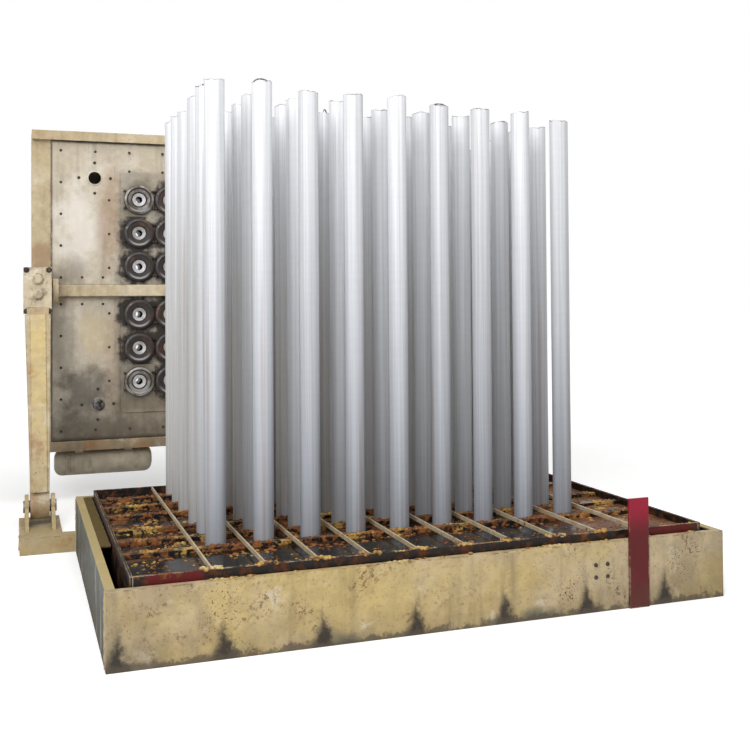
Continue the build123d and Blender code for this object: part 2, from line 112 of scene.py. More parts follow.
# Bolts and caps whose size doesn't change: radius and height
BEAM_BOLT, BLOCK_CAP, PORT_PLUG = (0.009, 0.007), (0.036, 0.035), (0.042, 0.045)
CLAMP_BOLT = (0.01, 0.03)

# The platen's end bays that are painted red
RED_BAY = (1.08, 1.355)
# Burn marks that stand along the foot of the front and rear beams
MARK_PLACE, MARK_PITCH = 0.283, 0.435
# Plates up the front of each arm: half widths at the foot and the head, and thickness
ARM_HALF_DEPTHS = (0.065, 0.08)
FLANGE_HALF_WIDTHS, FLANGE_THICKNESS = (0.058, 0.094), 0.01
STRIP_HALF_WIDTHS, STRIP_THICKNESS = (0.048, 0.056), 0.009
PLATE_FOOT, PLATE_HEAD_GAP = 0.245, 0.004
PLATE_CHAMFER = 0.004
# How far the frame's upright welds stop short of its foot and its top
WELD_ENDS = (0.01, 0.005)
# Flat bar on the front of the middle rail, between the trunnion lugs
RAIL_REACH, RAIL_BAR_END = 0.06, 1.535
RAIL_BAR_HALF, RAIL_BAR_THICKNESS = 0.044, 0.006
# Bolts and caps of the trunnion blocks, from the middle of each
BLOCK_BOLTS, CAP_RISES = (0.078, 0.15), (0.084, -0.028)
BEAM_BOLTS = [(x, z) for x in (0.768, 0.832) for z in (0.166, 0.225)]

# Sunken heads, and threads of frozen metal over some of them: row, column and the way they arch
HEAD_SINK = 0.03
HEAD_THREADS = ((0, 1, 0.25), (0, 5, -0.2), (1, 0, 1.9), (2, 3, 1.1), (4, 7, 0.6), (5, 4, 2.6))
THREAD_RADIUS, THREAD_RIPPLE = 0.004, 0.006
THREAD_SPAN, THREAD_HEIGHT, THREAD_STEPS = 0.045, 0.024, 16

# Where crust and grit begin on the deck, from its front, and half a clump's width on its edge
CRUST_START, GRIT_START, CLUMP_HALF = 0.35, 0.15, 0.045

# Edges of the painted faces of the table, where dirt gathers and painted shade is laid
PANEL_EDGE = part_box("upper_side_panels")[1].x
PANEL_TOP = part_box("upper_side_panels")[1].z
PANEL_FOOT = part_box("lower_side_panels")[0].z
PANEL_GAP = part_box("upper_mould_plate")[0].z - MIDDLE_HEIGHT

# Light and floor of the studio. Each lamp has a name, a place, a size and a power
WORLD_LIGHT = 0.3
FLOOR_GLOW, FAR_GLOW = 0.36, 0.75
GLOW_START, GLOW_END = 3.5, 12.0
FLOOR_SIZE = 60.0
# Painted shade of the pit on the floor, and how far inside the frame it starts
PIT_SHADE_TONE, PIT_INSET = 0.03, 0.02
LAMPS = (("Key", (-5.5, -6.5, 6.5), 5.0, 810.0), ("Overhead", (0.5, 1.0, 7.0), 6.0, 260.0))
LAMP_TARGET = (0.0, 1.8, 1.0)

# Gloss and metal of the finishes, as the shader takes them
PAINT_GLOSS, DULL_GLOSS = 0.3, 0.06
BILLET_GLOSS, BILLET_METAL = 0.25, 0.06
DECK_GLOSS = 0.3


def linear(red, green, blue):
    """A colour given as it looks on a screen, 0 to 255, as the shader's linear values."""
    def channel(value):
        share = value / 255
        return share / 12.92 if share <= 0.04045 else ((share + 0.055) / 1.055) ** 2.4
    return channel(red), channel(green), channel(blue)


def colour_property(name, description, red, green, blue):
    """A colour that a user can change, with its default as screen values."""
    return bpy.props.FloatVectorProperty(name=name, description=description, subtype="COLOR",
                                         size=3, min=0.0, max=1.0, default=linear(red, green, blue))


def length_property(name, description, metres):
    """A length that a user can change."""
    return bpy.props.FloatProperty(name=name, description=description, default=metres, min=0.0,
                                   subtype="DISTANCE", unit="LENGTH", precision=4)


class CastingColours(bpy.types.PropertyGroup):
    """Paints, metals, dirt, and painted light and shade of the casting machine."""
    cream: colour_property("Cream Paint", "Arms and their brackets", 200, 178, 124)
    rail: colour_property("Rail Paint", "Rails round the table", 212, 198, 170)
    beam: colour_property("Beam Paint", "The frame's front and rear beams", 188, 166, 112)
    # Also the painted shade of the arms and their flanges
    faded_and_shaded: colour_property("Faded Paint", "Cream paint where the sun and heat took it", 186, 168, 134)
    panel: colour_property("Panel Paint", "Plain panels of the table", 215, 207, 191)
    panel_faded: colour_property("Stained Panel", "Panel paint under old stains", 196, 184, 163)
    side: colour_property("Side Paint", "Side beams of the frame", 77, 81, 74)
    cover: colour_property("Cover Paint", "Plates over the slots beside the platen", 94, 78, 40)
    red: colour_property("Red Paint", "Upright bar and the platen's end bays", 86, 11, 14)
    # The upper part of the upright bar, paler as painted light
    red_lit_top: colour_property("Lit Red Top", "Top of the upright bar", 142, 22, 46)
    header: colour_property("Header Paint", "Water drums under the table", 158, 149, 130)
    rust: colour_property("Rust", "Old brown rust", 84, 46, 24)
    orange_rust: colour_property("Orange Rust", "Fresh rust on the platen", 146, 88, 38)
    yellow_crust: colour_property("Yellow Crust", "Dried grease and oxide lumps", 188, 150, 78)
    soot: colour_property("Soot", "Soot and release oil round the moulds", 38, 32, 29)
    grime: colour_property("Grime", "Grey-brown workshop grime", 80, 71, 58)
    deck: colour_property("Wet Deck", "Oily black of the platen", 16, 15, 13)
    bar_steel: colour_property("Bar Steel", "Worn guide bars", 212, 196, 166)
    mould_ring: colour_property("Mould Ring", "Bright ring in each mould's mouth", 196, 193, 196)
    refractory: colour_property("Refractory", "Hot-top board and tiles", 206, 202, 194)
    # Painted shade near the platen, rising to painted light at the billets' heads
    billet_shaded_foot: colour_property("Billet Foot", "Billets near the platen", 158, 162, 170)
    billet_lit_top: colour_property("Billet Top", "Billets near their heads", 238, 239, 242)
    # Painted shade of the billets that stand further in
    billet_inner_shade: colour_property("Inner Billets", "Billets that stand further in", 196, 193, 188)
    pin: colour_property("Pin Steel", "Turned pins and the ram", 150, 148, 142)
    # Also the painted sheen high on the side panels
    washed_and_sheen: colour_property("Washed Panel", "Where the panels were rubbed clean", 238, 233, 224)
    brown: colour_property("Brown Stain", "Burnt oil on the table's face", 148, 110, 80)


class CastingSizes(bpy.types.PropertyGroup):
    """Sizes of the small pieces."""
    screw_radius: length_property("Screw Radius", "Heads of the panel screws", 0.0085)
    screw_height: length_property("Screw Height", "Heads of the panel screws", 0.005)
    bolt_radius: length_property("Bolt Radius", "Hexagon heads at ports and blocks", 0.015)
    bolt_height: length_property("Bolt Height", "Hexagon heads at ports and blocks", 0.011)
    screw_pitch: length_property("Screw Pitch", "Along the table's top and bottom", 0.253)
    column_pitch: length_property("Column Pitch", "Screws up the side panels", 0.237)
    port_radius: length_property("Port Radius", "Round ports of the side panels", 0.047)
    ragged: length_property("Ragged Head", "How uneven the heads of the billets are", 0.026)
    crumb: length_property("Crumb", "Largest lump of rust and grease on the platen", 0.015)
    bead: length_property("Weld Bead", "Half the width of a weld", 0.006)


class Graph:
    """Adds nodes to one tree and joins them. A value may be a number, a colour or a socket."""

    def __init__(self, tree):
        self.tree = tree

    def node(self, kind, inputs=None, **settings):
        """A new node with its settings, and its inputs fed by name or by number."""
        made = self.tree.nodes.new(kind)
        for name, value in settings.items():
            setattr(made, name, value)
        for name, value in (inputs or {}).items():
            self.feed(made.inputs[name], value)
        return made

    def feed(self, socket, value):
        """Joins a socket to the input, or sets the input's own value."""
        if isinstance(value, bpy.types.NodeSocket):
            self.tree.links.new(value, socket)
        elif socket.type == "RGBA" and len(value) == 3:
            socket.default_value = (*value, 1.0)
        else:
            socket.default_value = value

    def first(self, kind, inputs=None, **settings):
        """The first output of a new node."""
        return self.node(kind, inputs, **settings).outputs[0]

    def maths(self, operation, *values, clamp=False):
        """One sum on numbers."""
        kind = "ShaderNodeMath"
        return self.first(kind, dict(enumerate(values)), operation=operation, use_clamp=clamp)

    def vector(self, operation, *values):
        """One sum on vectors."""
        return self.first("ShaderNodeVectorMath", dict(enumerate(values)), operation=operation)

    def length(self, value):
        """The length of a vector."""
        made = self.node("ShaderNodeVectorMath", {0: value}, operation="LENGTH")
        return made.outputs["Value"]

    def remap(self, value, low, high, to_low=0.0, to_high=1.0, smooth=True):
        """Turns the range low to high into another one, held at its ends."""
        return self.first("ShaderNodeMapRange",
                          {"Value": value, "From Min": low, "From Max": high,
                           "To Min": to_low, "To Max": to_high},
                          interpolation_type="SMOOTHSTEP" if smooth else "LINEAR")

    def mix(self, share, first, second, blend="MIX"):
        """Two colours mixed."""
        made = self.node("ShaderNodeMix", {0: share, 6: first, 7: second},
                         data_type="RGBA", blend_type=blend, clamp_result=True)
        return made.outputs[2]

    def lay(self, colour, tint, mask, share=1.0):
        """A tint laid over a colour where a mask is, held to a share."""
        if share != 1.0:
            mask = self.product(mask, share)
        return self.mix(mask, colour, tint)

    def shaded(self, colour, shade):
        """A colour made darker or paler by a factor."""
        return self.mix(1.0, colour, self.join(shade, shade, shade), "MULTIPLY")

    def most(self, first, *others):
        """The largest of some numbers."""
        for other in others:
            first = self.maths("MAXIMUM", first, other)
        return first

    def product(self, first, *others):
        """Numbers multiplied."""
        for other in others:
            first = self.maths("MULTIPLY", first, other)
        return first

    def total(self, first, *others):
        """Numbers added."""
        for other in others:
            first = self.maths("ADD", first, other)
        return first

    def less(self, first, second):
        """One number less another."""
        return self.maths("SUBTRACT", first, second)

    def positive(self, value):
        """A number without its sign."""
        return self.maths("ABSOLUTE", value)

    def sway(self, noise, amount):
        """A noise as a shift to both sides of zero."""
        return self.product(self.less(noise, 0.5), amount)

    def attribute(self, name):
        """A number that the mesh carries."""
        return self.node("ShaderNodeAttribute", attribute_name=name).outputs["Fac"]

    def noise(self, vector, scale, detail=4.0, rough=0.55, distortion=0.0):
        """Fractal noise, 0 to 1."""
        return self.first("ShaderNodeTexNoise",
                          {"Vector": vector, "Scale": scale, "Detail": detail,
                           "Roughness": rough, "Distortion": distortion})

    def stretch(self, vector, x, y, z):
        """Coordinates squeezed along their axes."""
        return self.vector("MULTIPLY", vector, (x, y, z))

    def split(self, vector):
        """The three parts of a vector."""
        return self.node("ShaderNodeSeparateXYZ", {0: vector}).outputs

    def join(self, x, y, z):
        """A vector from its three parts."""
        return self.first("ShaderNodeCombineXYZ", {0: x, 1: y, 2: z})


def shader_group(name, inputs, build, outputs=None):
    """A shader node group. It puts out a mask where no outputs are named."""
    return node_group(name, "ShaderNodeTree", inputs, outputs or {"Mask": "Float"}, build)


def shape_group(name, inputs, build):
    """A Geometry Nodes tree, from a piece's mesh and a material to the finished mesh."""
    inputs = {"Geometry": "Geometry", **inputs, "Material": "Material"}
    return node_group(name, "GeometryNodeTree", inputs, {"Geometry": "Geometry"}, build)


def node_group(name, tree_kind, inputs, outputs, build):
    """A node group, built once. Its inputs are given by their defaults, or by their kinds."""
    tree = bpy.data.node_groups.get(name)
    if tree:
        return tree
    tree = bpy.data.node_groups.new(name, tree_kind)
    for name, default in inputs.items():
        kind = default if isinstance(default, str) else kind_of(default)
        socket = tree.interface.new_socket(name, in_out="INPUT", socket_type=f"NodeSocket{kind}")
        if kind != default:
            socket.default_value = default
    for name, kind in outputs.items():
        tree.interface.new_socket(name, in_out="OUTPUT", socket_type=f"NodeSocket{kind}")
    graph = Graph(tree)
    source = graph.node("NodeGroupInput").outputs
    result = graph.node("NodeGroupOutput")
    for name, value in build(graph, source).items():
        graph.feed(result.inputs[name], value)
    return tree


def kind_of(default):
    """The kind of socket that a default fits. A colour has four parts, and a vector three."""
    if isinstance(default, tuple):
        return "Color" if len(default) == 4 else "Vector"
    return "Int" if isinstance(default, int) else "Float"


def object_place(graph):
    """Where a point of the surface lies, in metres in the machine's frame."""
    return graph.node("ShaderNodeTexCoord").outputs["Object"]


def placed(graph, tree, **values):
    """A shader group placed in a tree with its own values, and its outputs."""
    named = {name.replace("_", " "): value for name, value in values.items()}
    return graph.node("ShaderNodeGroup", named, node_tree=tree).outputs


def edge_wear_group():
    """A mask of rubbed and chipped edges."""
    def build(graph, source):
        rounded = graph.first("ShaderNodeBevel", {"Radius": source["Width"]}, samples=4)
        flat = graph.node("ShaderNodeNewGeometry").outputs["True Normal"]
        turned = graph.node("ShaderNodeVectorMath", {0: rounded, 1: flat}, operation="DOT_PRODUCT")
        turn = graph.less(1.0, turned.outputs["Value"])
        breakup = graph.noise(object_place(graph), source["Scale"], 5.0, 0.65)
        chipped = graph.product(graph.remap(turn, 0.01, 0.22), graph.remap(breakup, 0.42, 0.6))
        return {"Mask": graph.maths("MULTIPLY", chipped, source["Amount"], clamp=True)}
    return shader_group("Edge Wear", {"Width": 0.012, "Scale": 9.0, "Amount": 1.0}, build)


def rust_speck_group():
    """A mask of small rust specks that gather in patches."""
    def build(graph, source):
        place = object_place(graph)
        dots = graph.noise(place, source["Scale"], 3.0, 0.6)
        patches = graph.noise(place, 2.6, 5.0, 0.65)
        level = graph.total(dots, graph.product(patches, 0.6))
        start = graph.less(1.12, graph.product(source["Amount"], 0.22))
        return {"Mask": graph.remap(level, start, graph.total(start, 0.05))}
    return shader_group("Rust Specks", {"Scale": 95.0, "Amount": 0.5}, build)


def drip_group():
    """A mask of stains that ran down."""
    def build(graph, source):
        place = object_place(graph)
        wide = graph.noise(graph.stretch(place, 5.0, 5.0, 0.55), 1.0, 5.0, 0.6)
        thin = graph.noise(graph.stretch(place, 26.0, 26.0, 1.3), 1.0, 3.0, 0.5)
        level = graph.total(graph.product(wide, 0.6), graph.product(thin, 0.4))
        return {"Mask": graph.product(graph.remap(level, 0.5, 0.68), source["Amount"])}
    return shader_group("Drips", {"Amount": 0.5}, build)


def height_grime_group():
    """A mask of grime that thickens from a clean height to a dirty one."""
    def build(graph, source):
        place = object_place(graph)
        cloud = graph.noise(place, source["Scale"], 6.0, 0.62)
        level = graph.total(graph.split(place)[2], graph.sway(cloud, source["Spread"]))
        share = graph.maths("DIVIDE", graph.less(source["Clean Height"], level),
                            graph.less(source["Clean Height"], source["Dirty Height"]), clamp=True)
        return {"Mask": graph.maths("MULTIPLY", share, source["Amount"], clamp=True)}
    return shader_group("Height Grime", {"Clean Height": 0.3, "Dirty Height": 0.0, "Spread": 0.5,
                                         "Scale": 6.0, "Amount": 0.6}, build)


def patch_group():
    """A mask of soft-edged patches, for stains and rust."""
    def build(graph, source):
        place = graph.vector("ADD", object_place(graph), source["Shift"])
        cloud = graph.noise(place, source["Scale"], 7.0, 0.62, 0.4)
        start = graph.less(0.72, graph.product(source["Amount"], 0.4))
        return {"Mask": graph.remap(cloud, start, graph.total(start, source["Softness"]))}
    return shader_group("Patches", {"Scale": 4.0, "Amount": 0.5, "Softness": 0.1,
                                    "Shift": (0.0, 0.0, 0.0)}, build)


def patches(graph, scale, amount, softness, *shift):
    """A mask of soft-edged patches. A shift moves them, so that no two masks are alike."""
    return placed(graph, patch_group(), Scale=scale, Amount=amount, Softness=softness,
                  Shift=shift or (0.0, 0.0, 0.0))[0]


def worn_paint_group():
    """Paint that faded, stained, rusted and chipped."""
    def build(graph, source):
        place = object_place(graph)
        cloud = graph.noise(place, 1.6, 6.0, 0.6)
        fine = graph.noise(place, 22.0, 4.0, 0.6)
        colour = graph.mix(graph.remap(cloud, 0.38, 0.62), source["Paint"], source["Faded"])
        colour = graph.shaded(colour, graph.remap(fine, 0.3, 0.7, 0.88, 1.05))
        drips = placed(graph, drip_group(), Amount=source["Drips"])[0]
        grime = placed(graph, height_grime_group(), Clean_Height=source["Clean Height"],
                       Dirty_Height=source["Dirty Height"], Amount=source["Grime Amount"])[0]
        specks = placed(graph, rust_speck_group(), Amount=source["Specks"])[0]
        wear = placed(graph, edge_wear_group(), Amount=source["Wear"])[0]
        colour = graph.mix(drips, colour, source["Stain"])
        colour = graph.mix(grime, colour, source["Grime"])
        colour = graph.mix(specks, colour, source["Rust"])
        bare = graph.mix(graph.remap(fine, 0.42, 0.58), source["Rust"], source["Bare"])
        colour = graph.mix(wear, colour, bare)
        dirt = graph.most(specks, grime, wear)
        rough = graph.total(graph.remap(fine, 0.3, 0.7, 0.42, 0.56), graph.product(dirt, 0.3))
        pits = graph.most(specks, wear)
        height = graph.less(graph.product(fine, 0.3), pits)
        return {"Color": colour, "Roughness": rough, "Height": height}
    return shader_group("Worn Paint",
                        {"Paint": (0.6, 0.5, 0.3, 1.0), "Faded": (0.5, 0.4, 0.3, 1.0),
                         "Stain": (0.2, 0.15, 0.1, 1.0), "Grime": (0.1, 0.09, 0.07, 1.0),
                         "Rust": (0.1, 0.04, 0.02, 1.0), "Bare": (0.5, 0.48, 0.44, 1.0),
                         "Wear": 0.7, "Specks": 0.5, "Drips": 0.4, "Clean Height": 0.3,
                         "Dirty Height": 0.0, "Grime Amount": 0.6}, build,
                        {"Color": "Color", "Roughness": "Float", "Height": "Float"})


def soot_halo_group():
    """A mask of soot round a rectangle of the table's face."""
    def build(graph, source):
        place = object_place(graph)
        x, _, z = graph.split(place)[:3]
        out = graph.less(graph.positive(x), source["Half Width"])
        rise = graph.positive(graph.less(z, source["Middle Height"]))
        rise = graph.less(rise, source["Half Height"])
        away = graph.length(graph.join(graph.most(out, 0.0), graph.most(rise, 0.0), 0.0))
        cloud = graph.noise(place, 5.0, 6.0, 0.65)
        shift = graph.sway(cloud, graph.product(source["Reach"], 2.2))
        share = graph.maths("DIVIDE", graph.total(away, shift), source["Reach"])
        fade = graph.maths("SUBTRACT", 1.0, share, clamp=True)
        return {"Mask": graph.maths("MULTIPLY", fade, source["Amount"], clamp=True)}
    return shader_group("Soot Halo", {"Half Width": 1.0, "Half Height": 0.8, "Middle Height": 1.6,
                                      "Reach": 0.2, "Amount": 0.8}, build)


def soft_spot_group():
    """A cloud on the table's face, the same on both sides, given by its middle and half sizes."""
    def build(graph, source):
        place = object_place(graph)
        x, _, z = graph.split(place)[:3]
        out = graph.less(graph.positive(x), source["Middle"])
        across = graph.maths("DIVIDE", out, source["Wide"])
        rise = graph.maths("DIVIDE", graph.less(z, source["Height"]), source["Tall"])
        cloud = graph.noise(place, 6.0, 6.0, 0.62)
        level = graph.total(graph.length(graph.join(across, rise, 0.0)), graph.sway(cloud, 2.4))
        return {"Mask": graph.product(graph.remap(level, 1.25, 0.3), source["Amount"])}
    inputs = dict.fromkeys(("Middle", "Height", "Wide", "Tall", "Amount"), 0.5)
    return shader_group("Soft Spot", inputs, build)


def spot_over(graph, colour, tint, middle, height, wide, tall, amount):
    """A soft cloud of a tint over a colour."""
    spot = placed(graph, soft_spot_group(), Middle=middle, Height=height, Wide=wide, Tall=tall,
                  Amount=amount)[0]
    return graph.mix(spot, colour, tint)


def pit_shade_group():
    """A mask of the frame's inner faces, which look at the pit, for the soot-dark painted shade laid
    there.
    """
    def build(graph, source):
        x, y, z = graph.split(object_place(graph))[:3]
        along = graph.remap(graph.positive(x), FRAME_HIGH.x - 0.006, FRAME_HIGH.x - 0.011)
        out = graph.positive(graph.less(y, PIT_MIDDLE))
        across = graph.remap(out, PIT_REACH - 0.006, PIT_REACH - 0.011)
        under = graph.remap(z, FRAME_HIGH.z - 0.002, FRAME_HIGH.z - 0.006)
        return {"Mask": graph.product(along, across, under, 0.88)}
    return shader_group("Pit Side Shade", {}, build)


def new_material(name):
    """A material with one shader, and the graph to feed it."""
    material = bpy.data.materials.new(name)
    material.use_nodes = True
    graph = Graph(material.node_tree)
    shader = material.node_tree.nodes["Principled BSDF"]
    return material, graph, shader


def relief(graph, shader, height, strength, distance, rounding=0.003):
    """Bump over rounded edges, fed to the shader's normal. No rounding leaves the edges sharp."""
    inputs = {"Height": height, "Strength": strength, "Distance": distance}
    if rounding:
        inputs["Normal"] = graph.first("ShaderNodeBevel", {"Radius": rounding}, samples=4)
    graph.feed(shader.inputs["Normal"], graph.first("ShaderNodeBump", inputs))


def feed_shader(graph, shader, colour, rough, metallic=None, gloss=None):
    """Joins a finish to its shader. A plain number is set on the shader's own socket."""
    for name, value in (("Base Color", colour), ("Roughness", rough), ("Metallic", metallic),
                        ("Specular IOR Level", gloss)):
        if value is not None:
            graph.feed(shader.inputs[name], value)


def worn_paint(name, paint, faded_and_shaded, colours, changes=None, gloss=PAINT_GLOSS, **values):
    """Painted steel. changes may lay more over the paint before it reaches the shader."""
    material, graph, shader = new_material(name)
    outputs = placed(graph, worn_paint_group(), Paint=paint, Faded=faded_and_shaded, Rust=colours.rust,
                     Grime=colours.grime, Stain=colours.grime, Bare=colours.bar_steel, **values)
    colour, rough = outputs["Color"], outputs["Roughness"]
    if changes:
        colour, rough = changes(graph, colour, rough)
    feed_shader(graph, shader, colour, rough, gloss=gloss)
    relief(graph, shader, outputs["Height"], 0.35, 0.002)
    return material


def cream_material(name, paint, colours, rusty=0.35, **values):
    """Cream paint of the rails, arms and brackets, with brown stains and pale rubbed patches."""
    def stain(graph, colour, rough):
        brown = patches(graph, 3.1, rusty, 0.16)
        pitted = graph.remap(graph.noise(object_place(graph), 30.0, 4.0, 0.65), 0.4, 0.6, 0.35, 1.0)
        colour = graph.lay(colour, colours.orange_rust, graph.product(brown, pitted), 0.6)
        pale = patches(graph, 6.5, 0.42, 0.14, 0.0, 3.0, 1.0)
        colour = graph.lay(colour, colours.panel, pale, 0.4)
        return spot_over(graph, colour, colours.brown, TABLE_HIGH.x - 0.07, MID_HIGH.z + 0.15,
                         0.11, 0.14, 0.6), rough
    chosen = {"Wear": 0.75, "Specks": 0.5, "Drips": 0.3, "Clean_Height": 0.5, "Dirty_Height": -0.1,
              "Grime_Amount": 0.4, **values}
    return worn_paint(name, paint, colours.faded_and_shaded, colours, stain, **chosen)


def beam_material(colours):
    """Cream paint of the pit frame, pitted with rust, with burn marks along its foot and painted shade
    at its ends.
    """
    def scuff(graph, colour, rough):
        place = object_place(graph)
        x, _, rise = graph.split(place)[:3]
        colour = graph.lay(colour, colours.panel, patches(graph, 7.0, 0.28, 0.08), 0.35)
        pits = graph.noise(place, 75.0, 4.0, 0.6)
        colour = graph.lay(colour, colours.brown, graph.remap(pits, 0.56, 0.66, 0.0, 0.5))
        pitted = graph.remap(graph.noise(place, 48.0, 4.0, 0.65), 0.5, 0.6, 0.0, 0.8)
        colour = graph.lay(colour, colours.rust, patches(graph, 3.4, 0.5, 0.12, 4.0, 0.0, 2.0),
                           pitted)
        # The first spot darkens both ends of the beams as painted shade; the second lays dark stains
        # near the foot
        for spot in ((colours.grime, 1.55, 0.15, 0.45, 0.5, 0.3),
                     (colours.side, 0.48, 0.01, 0.14, 0.06, 0.75)):
            colour = spot_over(graph, colour, *spot)
        cloud = graph.less(graph.noise(place, 22.0, 5.0, 0.65), 0.5)
        shifted = graph.total(x, graph.product(cloud, 0.09))
        turn = graph.maths("DIVIDE", graph.less(shifted, MARK_PLACE), MARK_PITCH)
        out = graph.positive(graph.less(turn, graph.maths("ROUND", turn)))
        slope = graph.total(rise, graph.product(out, 1.15), graph.product(cloud, 0.07))
        edge = graph.total(rise, graph.product(cloud, 0.12))
        for tint, level, start, end, share in ((colours.grime, slope, 0.21, 0.12, 0.65),
                                               (colours.soot, slope, 0.16, 0.08, 0.9),
                                               (colours.grime, edge, 0.035, 0.012, 0.8)):
            colour = graph.lay(colour, tint, graph.remap(level, start, end, 0.0, share))
        # The inner faces that look at the pit are laid soot-dark, as painted shade
        return graph.lay(colour, colours.soot, placed(graph, pit_shade_group())[0]), rough
    return worn_paint("Beam Paint", colours.beam, colours.faded_and_shaded, colours, scuff,
                      Wear=1.0, Specks=0.6, Drips=0.36, Clean_Height=0.2, Dirty_Height=-0.16,
                      Grime_Amount=0.5)


def mould_place(graph):
    """From the middle of the nearest mould: how far away, how far below, and whether it is unused."""
    x, _, z = graph.split(object_place(graph))[:3]
    column = graph.maths("DIVIDE", graph.total(x, COLUMN_EDGE), COLUMN_PITCH)
    nearest = graph.maths("MINIMUM", graph.maths("MAXIMUM", graph.maths("ROUND", column), 0.0),
                          COLUMNS - 1.0)
    across = graph.product(graph.less(column, nearest), COLUMN_PITCH)
    rise = graph.less(z, MIDDLE_HEIGHT)
    far = graph.positive(rise)
    row = graph.maths("DIVIDE", graph.less(far, FIRST_ROW), ROW_PITCH)
    closest = graph.maths("MINIMUM", graph.maths("MAXIMUM", graph.maths("ROUND", row), 0.0), 2.0)
    over = graph.product(graph.less(row, closest), ROW_PITCH)
    below = graph.product(over, graph.product(graph.maths("SIGN", rise), -1.0))
    outer_column = graph.maths("GREATER_THAN", graph.positive(x), COLUMN_EDGE - COLUMN_PITCH / 2)
    outer_row = graph.maths("GREATER_THAN", far, LAST_ROW - ROW_PITCH / 2)
    return (graph.length(graph.join(across, over, 0.0)), below,
            graph.product(outer_column, outer_row))


def panel_material(colours):
    """Off-white panels, sooty round the used moulds and grey towards the foot, with grime and painted
    shade along their edges and a painted sheen high on the side panels.
    """
    def soil(graph, colour, rough):
        place = object_place(graph)
        x, y, z = graph.split(place)[:3]
        halo = placed(graph, soot_halo_group(), Half_Width=COLUMN_EDGE + 0.14,
                      Half_Height=LAST_ROW + 0.2, Middle_Height=MIDDLE_HEIGHT, Reach=0.05,
                      Amount=0.9)[0]
        away, _, unused = mould_place(graph)
        cloud = graph.noise(place, 13.0, 6.0, 0.65)
        lower = graph.remap(z, MIDDLE_HEIGHT + 0.02, MIDDLE_HEIGHT - 0.02)
        near = graph.less(graph.total(away, graph.sway(cloud, 0.2)), graph.product(lower, 0.008))
        soot = graph.remap(near, MOULD_RADIUS + 0.065, MOULD_RADIUS + 0.005)
        soot = graph.product(soot, graph.remap(unused, 0.0, 1.0, 0.95, 0.3))
        smear = patches(graph, 2.2, 0.62, 0.3, 1.3, 0.0, 0.4)
        foot = placed(graph, height_grime_group(), Clean_Height=1.0, Dirty_Height=0.35,
                      Amount=0.85)[0]
        colour = graph.lay(colour, colours.brown, patches(graph, 3.4, 0.42, 0.2, 0.0, 0.0, 5.0), 0.25)
        colour = graph.lay(colour, colours.grime, smear, graph.product(lower, 0.26))
        colour = graph.lay(colour, colours.grime, foot)
        # The first spot, in the washed colour, is a painted sheen high on each side panel
        for spot in ((colours.washed_and_sheen, 1.38, 2.08, 0.2, 0.36, 0.6),
                     (colours.brown, 1.17, 2.16, 0.1, 0.45, 0.5),
                     (colours.cream, 1.27, 1.25, 0.12, 0.2, 0.35),
                     (colours.grime, 1.47, 1.72, 0.2, 0.13, 0.45),
                     (colours.brown, 1.14, 1.1, 0.07, 0.4, 0.3),
                     (colours.side, 1.5, 1.15, 0.1, 0.4, 0.3),
                     (colours.soot, 1.33, 0.84, 0.2, 0.19, 0.55),
                     (colours.grime, 1.2, 0.54, 0.7, 0.1, 0.6)):
            colour = spot_over(graph, colour, *spot)
        colour = graph.lay(colour, colours.grime, halo, 0.52)
        # Grime and painted shade along the panels' top, foot and outer edges, and beside the middle
        # rail
        from_rail = graph.positive(graph.less(z, MIDDLE_HEIGHT))
        rail_grime_and_shade = graph.product(graph.remap(from_rail, PANEL_GAP + 0.03, PANEL_GAP + 0.006),
                                    graph.remap(y, TABLE_FACE + 0.03, TABLE_FACE + 0.01))
        corner_grime_and_shade = graph.most(graph.remap(z, PANEL_TOP - 0.02, PANEL_TOP - 0.004),
                            graph.remap(z, PANEL_FOOT + 0.03, PANEL_FOOT + 0.006), rail_grime_and_shade,
                            graph.remap(graph.positive(x), PANEL_EDGE - 0.022, PANEL_EDGE - 0.006))
        colour = graph.lay(colour, colours.grime, corner_grime_and_shade, graph.remap(cloud, 0.3, 0.55, 0.5, 0.9))
        colour = graph.lay(colour, colours.soot, soot)
        return colour, graph.total(rough, graph.product(soot, 0.12))
    return worn_paint("Panel Paint", colours.panel, colours.panel_faded, colours, soil,
                      Wear=0.5, Specks=0.24, Drips=0.3, Clean_Height=1.6, Dirty_Height=0.2,
                      Grime_Amount=0.4)


def mottled_block_material(colours):
    """Brown-stained cream of the trunnion blocks."""
    def mottle(graph, colour, rough):
        colour = graph.lay(colour, colours.rust, patches(graph, 14.0, 0.55, 0.12), 0.42)
        pale = patches(graph, 9.0, 0.4, 0.1, 2.0, 1.0, 0.0)
        return graph.lay(colour, colours.washed_and_sheen, pale, 0.7), rough
    return worn_paint("Mottled Block Paint", colours.rail, colours.rail, colours, mottle,
                      Wear=1.0, Specks=0.7, Drips=0.3, Clean_Height=1.5, Dirty_Height=0.4,
                      Grime_Amount=0.1)


def side_material(colours):
    """Grey-green paint of the side beams, streaked with white, and cream on top."""
    def streak(graph, colour, rough):
        place = object_place(graph)
        run = graph.noise(graph.stretch(place, 7.0, 7.0, 1.6), 1.0, 5.0, 0.65)
        colour = graph.lay(colour, colours.washed_and_sheen, graph.remap(run, 0.54, 0.7, 0.0, 0.28))
        top = graph.remap(graph.split(place)[2], FRAME_HIGH.z - 0.012, FRAME_HIGH.z - 0.003)
        colour = graph.lay(colour, colours.cream, top, 0.7)
        # The inner faces that look at the pit are laid soot-dark, as painted shade
        return graph.lay(colour, colours.soot, placed(graph, pit_shade_group())[0]), rough
    return worn_paint("Side Paint", colours.side, colours.side, colours, streak, DULL_GLOSS,
                      Wear=1.0, Specks=0.5, Drips=0.7, Clean_Height=0.33, Dirty_Height=0.0,
                      Grime_Amount=0.6)


